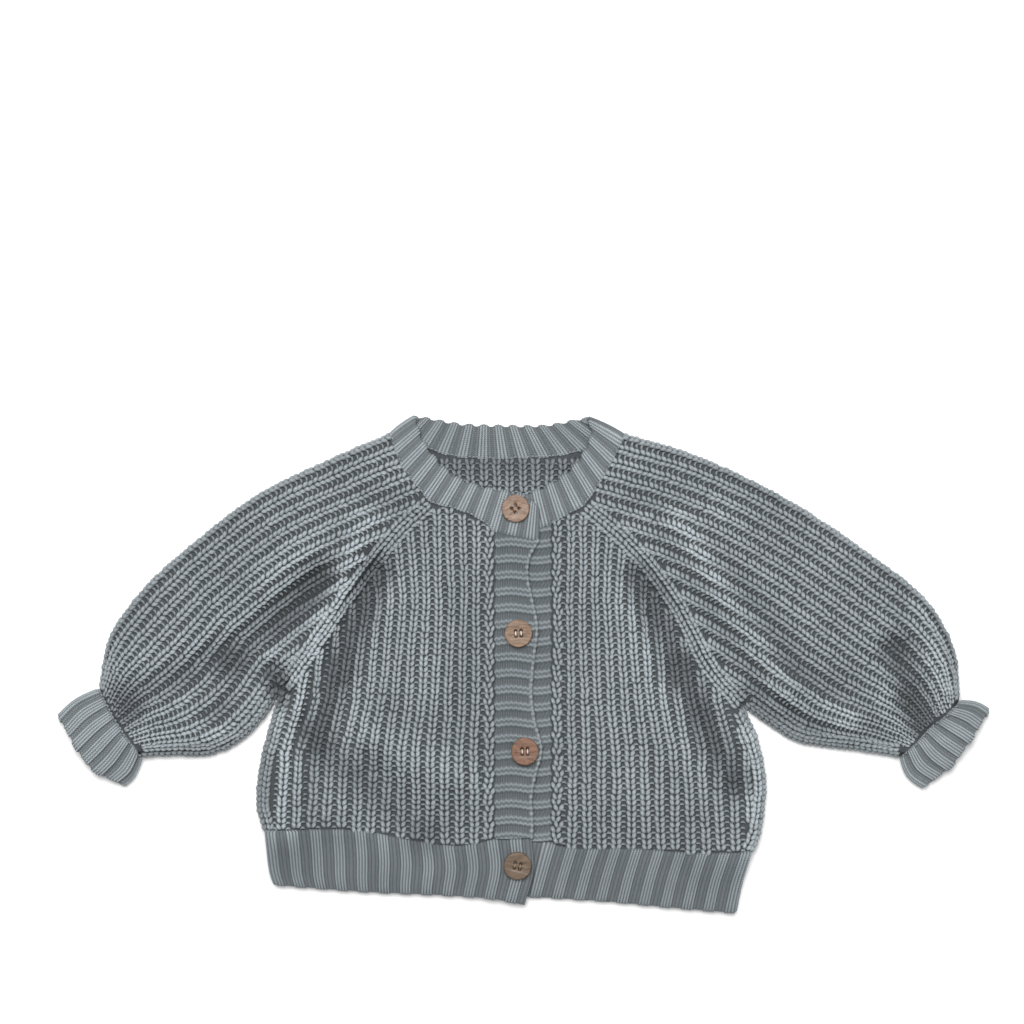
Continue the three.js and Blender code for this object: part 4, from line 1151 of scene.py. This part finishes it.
def neckband_stretches():
    """The neckband's seam line and free edge in three stretches: right front, back, and left front beneath."""
    upper = joined(straight(NECK_UPPER_END, [-BAND_SEAM, 73.6]), RIGHT["neck_front"][::-1],
                   RIGHT["neck_sleeve_front"][::-1])
    behind = joined(RIGHT["neck_sleeve_back"], NECK_BACK_SEAM, LEFT["neck_sleeve_back"][::-1])
    beneath = joined(LEFT["neck_sleeve_front"], LEFT["neck_front"], straight([BAND_SEAM, 77.5], NECK_LOWER_END))
    return [(upper, NECK_FREE_RIGHT, -1, "upper"), (behind, NECK_FREE_BACK, -1, "lower"),
            (beneath, NECK_FREE_LEFT, 1, "upper")]


def make_neckband(context):
    """The neckband: one strip that turns over at both corners, so that its inner face shows at the back."""
    knit = Millimetres(context.scene.knit_settings)
    across = np.linspace(0.0, 0.94, 11)
    outers, inners, normals, places, painted_shades = [], [], [], [], []
    start = 0.0
    for seam, free, sign, layer in neckband_stretches():
        length = (length_of(seam) + length_of(free)) / 2
        reach = 4.6
        extra = 0.35 * reach * (1 if layer == "upper" else 2)
        s = np.linspace(0.15, length + extra - 0.15, int((length + extra) / 0.34))
        if layer == "upper" and sign < 0:
            distance = length - row_distance(s[::-1], length, reach)
        elif layer == "upper":
            distance = row_distance(s, length, reach)
        else:
            distance = row_distance(s, length, reach, reach)
        share = np.clip(distance / length, 0, 1)
        scallop = 0.03 * np.cos((start + s) * 2 * np.pi / knit.neckband_pitch)[:, None] * across[None] ** 4
        reached = (across[None] - 0.02 - scallop)[..., None]
        xy = at(seam, share)[:, None] * (1 - reached) + at(free, share)[:, None] * reached
        outer = lay(xy, sign, layer + "_outer")
        normal = grid_normals(outer, layer == "upper")
        outers.append(outer - normal * 0.4)
        inners.append(outer - normal * (WALL - 0.35))
        normals.append(normal)
        places.append(start + s)
        # Painted shade: the back stretch lies in the neck's shade, so its crown share is lower.
        painted_shades.append(np.full(len(s), 0.86 if layer == "lower" else 1.0))
        start += length + extra
    outer, inner, normal, place, tone_and_painted_light = (np.concatenate(group) for group in (outers, inners, normals, places, painted_shades))
    relief, crown = (part[:, None] * np.ones_like(across)
                     for part in rib_relief(place, knit.neckband_pitch, 5.4, 1.7, 3, 0.8))
    crown = crown * tone_and_painted_light[:, None]
    puff = 0.9 * np.sin(np.pi * across) ** 0.7
    outer = outer + normal * puff[None, :, None]
    uv = np.stack([place[:, None] * np.ones_like(across), np.ones_like(place)[:, None] * across * 19], -1)
    return wall_mesh("neckband_rib", outer, inner, normal, relief, crown, uv, inner_relief=relief * 0.9,
                     round_ends=(0.5, 0.9))


def linking_chain(name, seams, spacing=2.3):
    """The row of small stitches that joins a band to a piece: (curve, side's sign, face) for each seam."""
    parts = []
    for k, (curve, sign, face) in enumerate(seams):
        count = int(length_of(curve) / spacing)
        share = (np.arange(count) + 0.5) / count
        run = at(curve, share + 0.004) - at(curve, share - 0.004)
        sideways = np.stack([-run[:, 1], run[:, 0], np.zeros(count)], -1)
        points, normals = seat(at(curve, share), sign, face)
        parts.append(place_template(bump_template(), points - normals * 0.15, sideways, normals,
                                    np.array([0.62, 0.8, 0.8]), 7 + k))
    return to_mesh(name, *merge_parts(parts))


def band_relief(y, x, pitch):
    """Height and crown share of the bands' cross welts.

    Each welt has two strands that zigzag across the band, and the hollow after it has small upright ticks. The crown
    share is a painted shade, low in the hollow and off the strands.
    """
    within = (y + 0.7 * np.sin(x * 0.23)) % pitch - pitch / 2
    rise = smoothstep(pitch * 0.32 + 0.4 - np.abs(within), 0, 0.9)
    zigzag = 0.5 * (np.abs((x / 2.6) % 1 - 0.5) * 4 - 1)
    strands = np.exp(-((np.abs(within + zigzag) - 1.4) / 0.62) ** 2)
    ticks = 0.5 + 0.5 * np.sin(2 * np.pi * x / 1.35)
    relief = 1.0 * (rise - 0.6) + 0.75 * rise * strands + 0.4 * (1 - rise) * ticks
    crown = rise * (0.3 + 0.65 * strands) + (1 - rise) * (0.08 + 0.34 * ticks)
    return relief, crown


def make_band(context, key):
    """A front band: a flat strip of cross welts between its seam and its free edge."""
    knit, side = Millimetres(context.scene.knit_settings), SIDES[key]
    seam = straight(side["hem_front"][-1], side["neck_front"][-1])
    free = BAND_FREE_EDGE if key == "right" else straight([BAND_HIDDEN_EDGE, -96.4], [BAND_HIDDEN_EDGE, 70])
    level = LEVEL[2] if key == "right" else LEVEL[1]
    t = np.linspace(0.004, 0.996, 330)
    across = np.linspace(-0.005, 0.95, 46 if key == "right" else 30)
    xy = at(seam, t)[:, None] * (1 - across[None, :, None]) + at(free, t)[:, None] * across[None, :, None]
    xy[..., 0] += 0.5 * np.sin(xy[..., 1] * 2 * np.pi / knit.welt_pitch) * (1 - across[None])
    up = np.zeros((*xy.shape[:2], 3))
    up[..., 2] = 1
    outer = np.concatenate([xy, np.full((*xy.shape[:2], 1), level + WALL / 2 - 0.3)], -1)
    inner = outer - up * (WALL - 0.4)
    relief, crown = band_relief(xy[..., 1], xy[..., 0], knit.welt_pitch)
    name = {"right": "buttonhole_band_rib", "left": "button_band_rib"}[key]
    return wall_mesh(name, outer, inner, up, relief, crown, xy[..., ::-1], round_ends=(0.3, 1.0))


def edge_cord(name, line, height, radius, sides=8):
    """A thin rounded cord along a line, as the band's slipped edge stitches; it swells at each stitch."""
    count = int(length_of(line) / 0.6)
    share = np.linspace(0, 1, count)
    centre = np.concatenate([at(line, share), np.full((count, 1), height)], -1)
    swell = radius * (0.6 + 0.45 * np.abs(np.sin(share * length_of(line) * np.pi / 3.1)))
    vertices, quads, triangles, uv, crown = strand_template(centre, swell, sides)
    # Painted shade: the crown share falls where the cord narrows between stitches.
    ring = np.append(np.repeat(swell, sides), [swell[0], swell[-1]]) / swell.max()
    return to_mesh(name, vertices, quads, triangles, uv, crown * (0.2 + 0.6 * ring ** 2))


# ------------------------------------------------------------------ buttons

# Turn, the wood's two colours and the thread's colour.
BUTTONS = {"button_1": (45, "#8a705b", "#5a4030", "#5c422f"), "button_2": (4, "#866b54", "#513c2c", "#e2d8cf"),
           "button_3": (2, "#7e5a44", "#4b301d", "#d8cbc0"), "button_4": (-12, "#6a5745", "#443323", "#8f7d69")}


def turned(degrees):
    """Rotation about z as a matrix."""
    angle = np.radians(degrees)
    return np.array([[np.cos(angle), -np.sin(angle), 0], [np.sin(angle), np.cos(angle), 0], [0, 0, 1]])


def make_button(context, node, turn):
    """A turned disc: a filled flat outline with four holes, thickened with a rounded edge."""
    size = Millimetres(context.scene.button_settings)
    low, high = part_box(node)
    centre = (low + high) / 2
    curve = bpy.data.curves.new(node + "_outline", "CURVE")
    curve.dimensions = "2D"
    curve.fill_mode = "BOTH"
    edge = 0.55
    curve.extrude = (size.thickness / 2 - edge) * MM
    curve.bevel_depth = edge * MM
    curve.bevel_resolution = 3
    curve.resolution_u = 16
    half = size.hole_spacing / 2
    circle_handle = 0.5523          # length of a Bezier handle that makes a quarter circle of radius 1
    rings = [((0, 0), size.diameter / 2 - edge)]
    rings += [((x, y), size.hole / 2 + edge) for x in (-half, half) for y in (-half, half)]
    for (x, y), radius in rings:
        spline = curve.splines.new("BEZIER")
        spline.bezier_points.add(3)
        spline.use_cyclic_u = True
        handle = radius * circle_handle
        for point, angle in zip(spline.bezier_points, np.radians([0, 90, 180, 270])):
            out = np.array([np.cos(angle), np.sin(angle), 0])
            side = np.array([-np.sin(angle), np.cos(angle), 0])
            base = np.array([x, y, 0]) + out * radius
            point.co = base * MM
            point.handle_left = (base - side * handle) * MM
            point.handle_right = (base + side * handle) * MM
    holder = bpy.data.objects.new(node + "_holder", curve)
    context.scene.collection.objects.link(holder)
    graph = context.evaluated_depsgraph_get()
    mesh = bpy.data.meshes.new_from_object(holder.evaluated_get(graph))
    bpy.data.objects.remove(holder)
    count = len(mesh.vertices)
    co = np.empty(count * 3, np.float32)
    mesh.vertices.foreach_get("co", co)
    co = co.reshape(-1, 3).astype(float)
    radius = np.hypot(co[:, 0], co[:, 1]) / MM
    # The face is dished a little inside a low rim.
    co[:, 2] -= np.where(co[:, 2] > 0, 0.22 * MM * smoothstep(6.4 - radius, 0, 1.6), 0)
    co = co @ turned(turn).T + np.array(centre)
    mesh.vertices.foreach_set("co", co.astype(np.float32).ravel())
    mesh.polygons.foreach_set("use_smooth", np.ones(len(mesh.polygons), bool))
    piece = bpy.data.objects.new(node + "_disc", mesh)
    context.scene.collection.objects.link(piece)
    mesh.set_sharp_from_angle(angle=np.radians(40))
    return piece, centre


def make_thread(node, centre, turn, size):
    """Two passes of sewing thread: each leaves one hole beside its inner edge and dips into the next."""
    half = size.hole_spacing / 2
    s = np.linspace(-1, 1, 11)
    spin = turned(turn)
    parts = []
    for x in (-half, half):
        line = np.stack([np.full(11, x), (half - 0.25) * s, 1.75 - 1.9 * s ** 6], -1)
        parts.append(strand_template(line @ spin.T + np.array(centre) / MM, np.full(11, 0.33), 8))
    return to_mesh(node + "_thread", *merge_parts(parts))


# ------------------------------------------------------------------ operators

class KNIT_OT_back(bpy.types.Operator):
    """Adds the back panel with its ribs"""
    bl_idname = "knit.back"
    bl_label = "Back panel"

    def execute(self, context):
        add_chunky_piece(context, "back_panel", 1, make_back(context))
        return {"FINISHED"}


class KNIT_OT_fronts(bpy.types.Operator):
    """Adds both fronts with their ribs"""
    bl_idname = "knit.fronts"
    bl_label = "Fronts"

    def execute(self, context):
        add_chunky_piece(context, "front_right", -1, make_front(context, "right"))
        add_chunky_piece(context, "front_left", 1, make_front(context, "left"))
        return {"FINISHED"}


class KNIT_OT_sleeves(bpy.types.Operator):
    """Adds both balloon sleeves with their ribs"""
    bl_idname = "knit.sleeves"
    bl_label = "Sleeves"

    def execute(self, context):
        add_chunky_piece(context, "sleeve_right", -1, make_sleeve(context, "right"))
        add_chunky_piece(context, "sleeve_left", 1, make_sleeve(context, "left"))
        return {"FINISHED"}


class KNIT_OT_welts(bpy.types.Operator):
    """Adds the fine rib welts at the hem"""
    bl_idname = "knit.welts"
    bl_label = "Hem welts"

    def execute(self, context):
        back = Patch(on(RIGHT["hem_side"]), on(LEFT["hem_side"]), on(BACK_HEM_EDGE), on(BACK_HEM_TOP))
        rows = [("hem_back", back, 1, "lower_outer", (True, True), (0.262, 0.033), ["floor"]),
                ("hem_front_right", front_hem_patch(RIGHT), -1, "upper_outer", (True, False), (0.145, 0.031),
                 ["hem_back_rib"]),
                ("hem_front_left", front_hem_patch(LEFT), 1, "upper_outer", (True, False), (0.133, 0.032),
                 ["hem_back_rib"])]
        for node, patch, sign, face, rolled, flat, rests_on in rows:
            piece = make_hem(context, node, patch, sign, face, rolled)
            add_fine_piece(context, piece, node, flat, rests_on)
        return {"FINISHED"}


class KNIT_OT_cuffs(bpy.types.Operator):
    """Adds the fine rib cuffs"""
    bl_idname = "knit.cuffs"
    bl_label = "Cuffs"

    def execute(self, context):
        for key, side in SIDES.items():
            chain = linking_chain("cuff_%s_seam" % key, [(side["cuff_seam"], side["sign"], face)
                                                         for face in ("upper_outer", "lower_outer")])
            finish_piece(chain, materials(context)["neck"])
            add_fine_piece(context, make_cuff(context, key), "cuff_" + key, (0.1, 0.026), ["floor"])
        return {"FINISHED"}


class KNIT_OT_neckband(bpy.types.Operator):
    """Adds the neckband"""
    bl_idname = "knit.neckband"
    bl_label = "Neckband"

    def execute(self, context):
        piece = make_neckband(context)
        chain = linking_chain("neckband_seam", [
            (seam, side["sign"], face) for side in SIDES.values()
            for seam, face in ((side["neck_front"], "upper_outer"), (side["neck_sleeve_front"], "upper_outer"),
                               (side["neck_sleeve_back"], "lower_outer"))] + [(NECK_BACK_SEAM, 1, "lower_inner")])
        finish_piece(chain, materials(context)["neck"])
        add_fine_piece(context, piece, "neckband", (0.33, 0.019), ["back_panel_cloth"])
        return {"FINISHED"}


class KNIT_OT_bands(bpy.types.Operator):
    """Adds the buttonhole band and the button band"""
    bl_idname = "knit.bands"
    bl_label = "Front bands"

    def execute(self, context):
        cord = edge_cord("buttonhole_band_edge", BAND_FREE_EDGE + [[-0.6, 0]], LEVEL[2] + 0.6, 1.15)
        finish_piece(cord, materials(context)["wool"])
        add_fine_piece(context, make_band(context, "right"), "buttonhole_band", (0.022, 0.168),
                       ["button_band_rib"])
        add_fine_piece(context, make_band(context, "left"), "button_band", (0.025, 0.172),
                       ["back_panel_cloth"])
        return {"FINISHED"}


class KNIT_OT_buttons(bpy.types.Operator):
    """Adds the wooden buttons and their sewing threads"""
    bl_idname = "knit.buttons"
    bl_label = "Buttons"

    def execute(self, context):
        for node, (turn, light, dark, thread_colour) in BUTTONS.items():
            piece, centre = make_button(context, node, turn)
            finish_piece(piece, wood_material("hardwood_turned_oiled_" + node, light, dark, turn * 3 + 20),
                         [node])
            thread = make_thread(node, centre, turn, Millimetres(context.scene.button_settings))
            cotton, _, shader = new_material("cotton_thread_" + node)
            shader.inputs["Base Color"].default_value = linear(thread_colour)
            shader.inputs["Roughness"].default_value = 0.8
            finish_piece(thread, cotton)
        return {"FINISHED"}


class KNIT_OT_stage(bpy.types.Operator):
    """Adds the floor, the soft lights and the camera straight above"""
    bl_idname = "knit.stage"
    bl_label = "Stage"

    def execute(self, context):
        settings = context.scene.stage_settings
        half = 6.0
        mesh = bpy.data.meshes.new("floor")
        corners = ((-half, -half), (half, -half), (half, half), (-half, half))
        mesh.from_pydata([(x, y, -0.02 * MM) for x, y in corners], [], [(0, 1, 2, 3)])
        floor = bpy.data.objects.new("floor", mesh)
        context.scene.collection.objects.link(floor)
        material, _, shader = new_material("paper_matt_white")
        shader.inputs["Base Color"].default_value = linear(settings.floor)
        shader.inputs["Roughness"].default_value = 0.9
        floor.data.materials.append(material)
        context.scene.view_settings.view_transform = "Standard"
        world = bpy.data.worlds.new("studio_world")
        world.use_nodes = True
        world.node_tree.nodes["Background"].inputs["Color"].default_value = (1, 1, 1, 1)
        world.node_tree.nodes["Background"].inputs["Strength"].default_value = 0.3
        context.scene.world = world
        for name, place, energy, size in (("softbox", (-0.15, 0.65, 1.75), 40.0, 0.9),
                                          ("fill_light", (0.9, -0.3, 1.7), 6.0, 1.2)):
            light = bpy.data.lights.new(name, "AREA")
            light.energy = energy
            light.size = size
            holder = bpy.data.objects.new(name, light)
            holder.location = place
            aim = np.array([0, 0.02, 0]) - np.array(place)
            holder.rotation_euler = (np.arctan2(np.hypot(aim[0], aim[1]), -aim[2]), 0,
                                     np.arctan2(aim[0], -aim[1]) + np.pi)
            context.scene.collection.objects.link(holder)
        camera = bpy.data.cameras.new("camera")
        camera.lens = settings.lens
        camera.sensor_width = 36
        holder = bpy.data.objects.new("camera", camera)
        distance = settings.frame_width / camera.sensor_width * settings.lens + CLOTH_MIDDLE * MM
        holder.location = (settings.centre_x, settings.centre_y, distance)
        context.scene.collection.objects.link(holder)
        context.scene.camera = holder
        return {"FINISHED"}


STEPS = [KNIT_OT_stage, KNIT_OT_back, KNIT_OT_fronts, KNIT_OT_sleeves, KNIT_OT_welts, KNIT_OT_cuffs,
         KNIT_OT_neckband, KNIT_OT_bands, KNIT_OT_buttons]


class KNIT_PT_panel(bpy.types.Panel):
    """Lists the cardigan's pieces in the sidebar"""
    bl_label = "Chunky knit cardigan"
    bl_idname = "KNIT_PT_panel"
    bl_space_type = "VIEW_3D"
    bl_region_type = "UI"
    bl_category = "Knit"

    def draw(self, context):
        for step in STEPS:
            self.layout.operator(step.bl_idname)


GROUPS = {"knit_settings": KnitSettings, "button_settings": ButtonSettings, "stage_settings": StageSettings}
CLASSES = [*GROUPS.values(), *STEPS, KNIT_PT_panel]


def register():
    """Registers the classes and hangs the settings on the scene."""
    for item in CLASSES:
        bpy.utils.register_class(item)
    for name, group in GROUPS.items():
        setattr(bpy.types.Scene, name, bpy.props.PointerProperty(type=group))


def unregister():
    """Undoes register."""
    for name in GROUPS:
        delattr(bpy.types.Scene, name)
    for item in reversed(CLASSES):
        bpy.utils.unregister_class(item)


def main():
    """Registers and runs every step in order."""
    register()
    for step in STEPS:
        prefix, name = step.bl_idname.split(".")
        getattr(getattr(bpy.ops, prefix), name)()


if __name__ == "__main__":
    main()
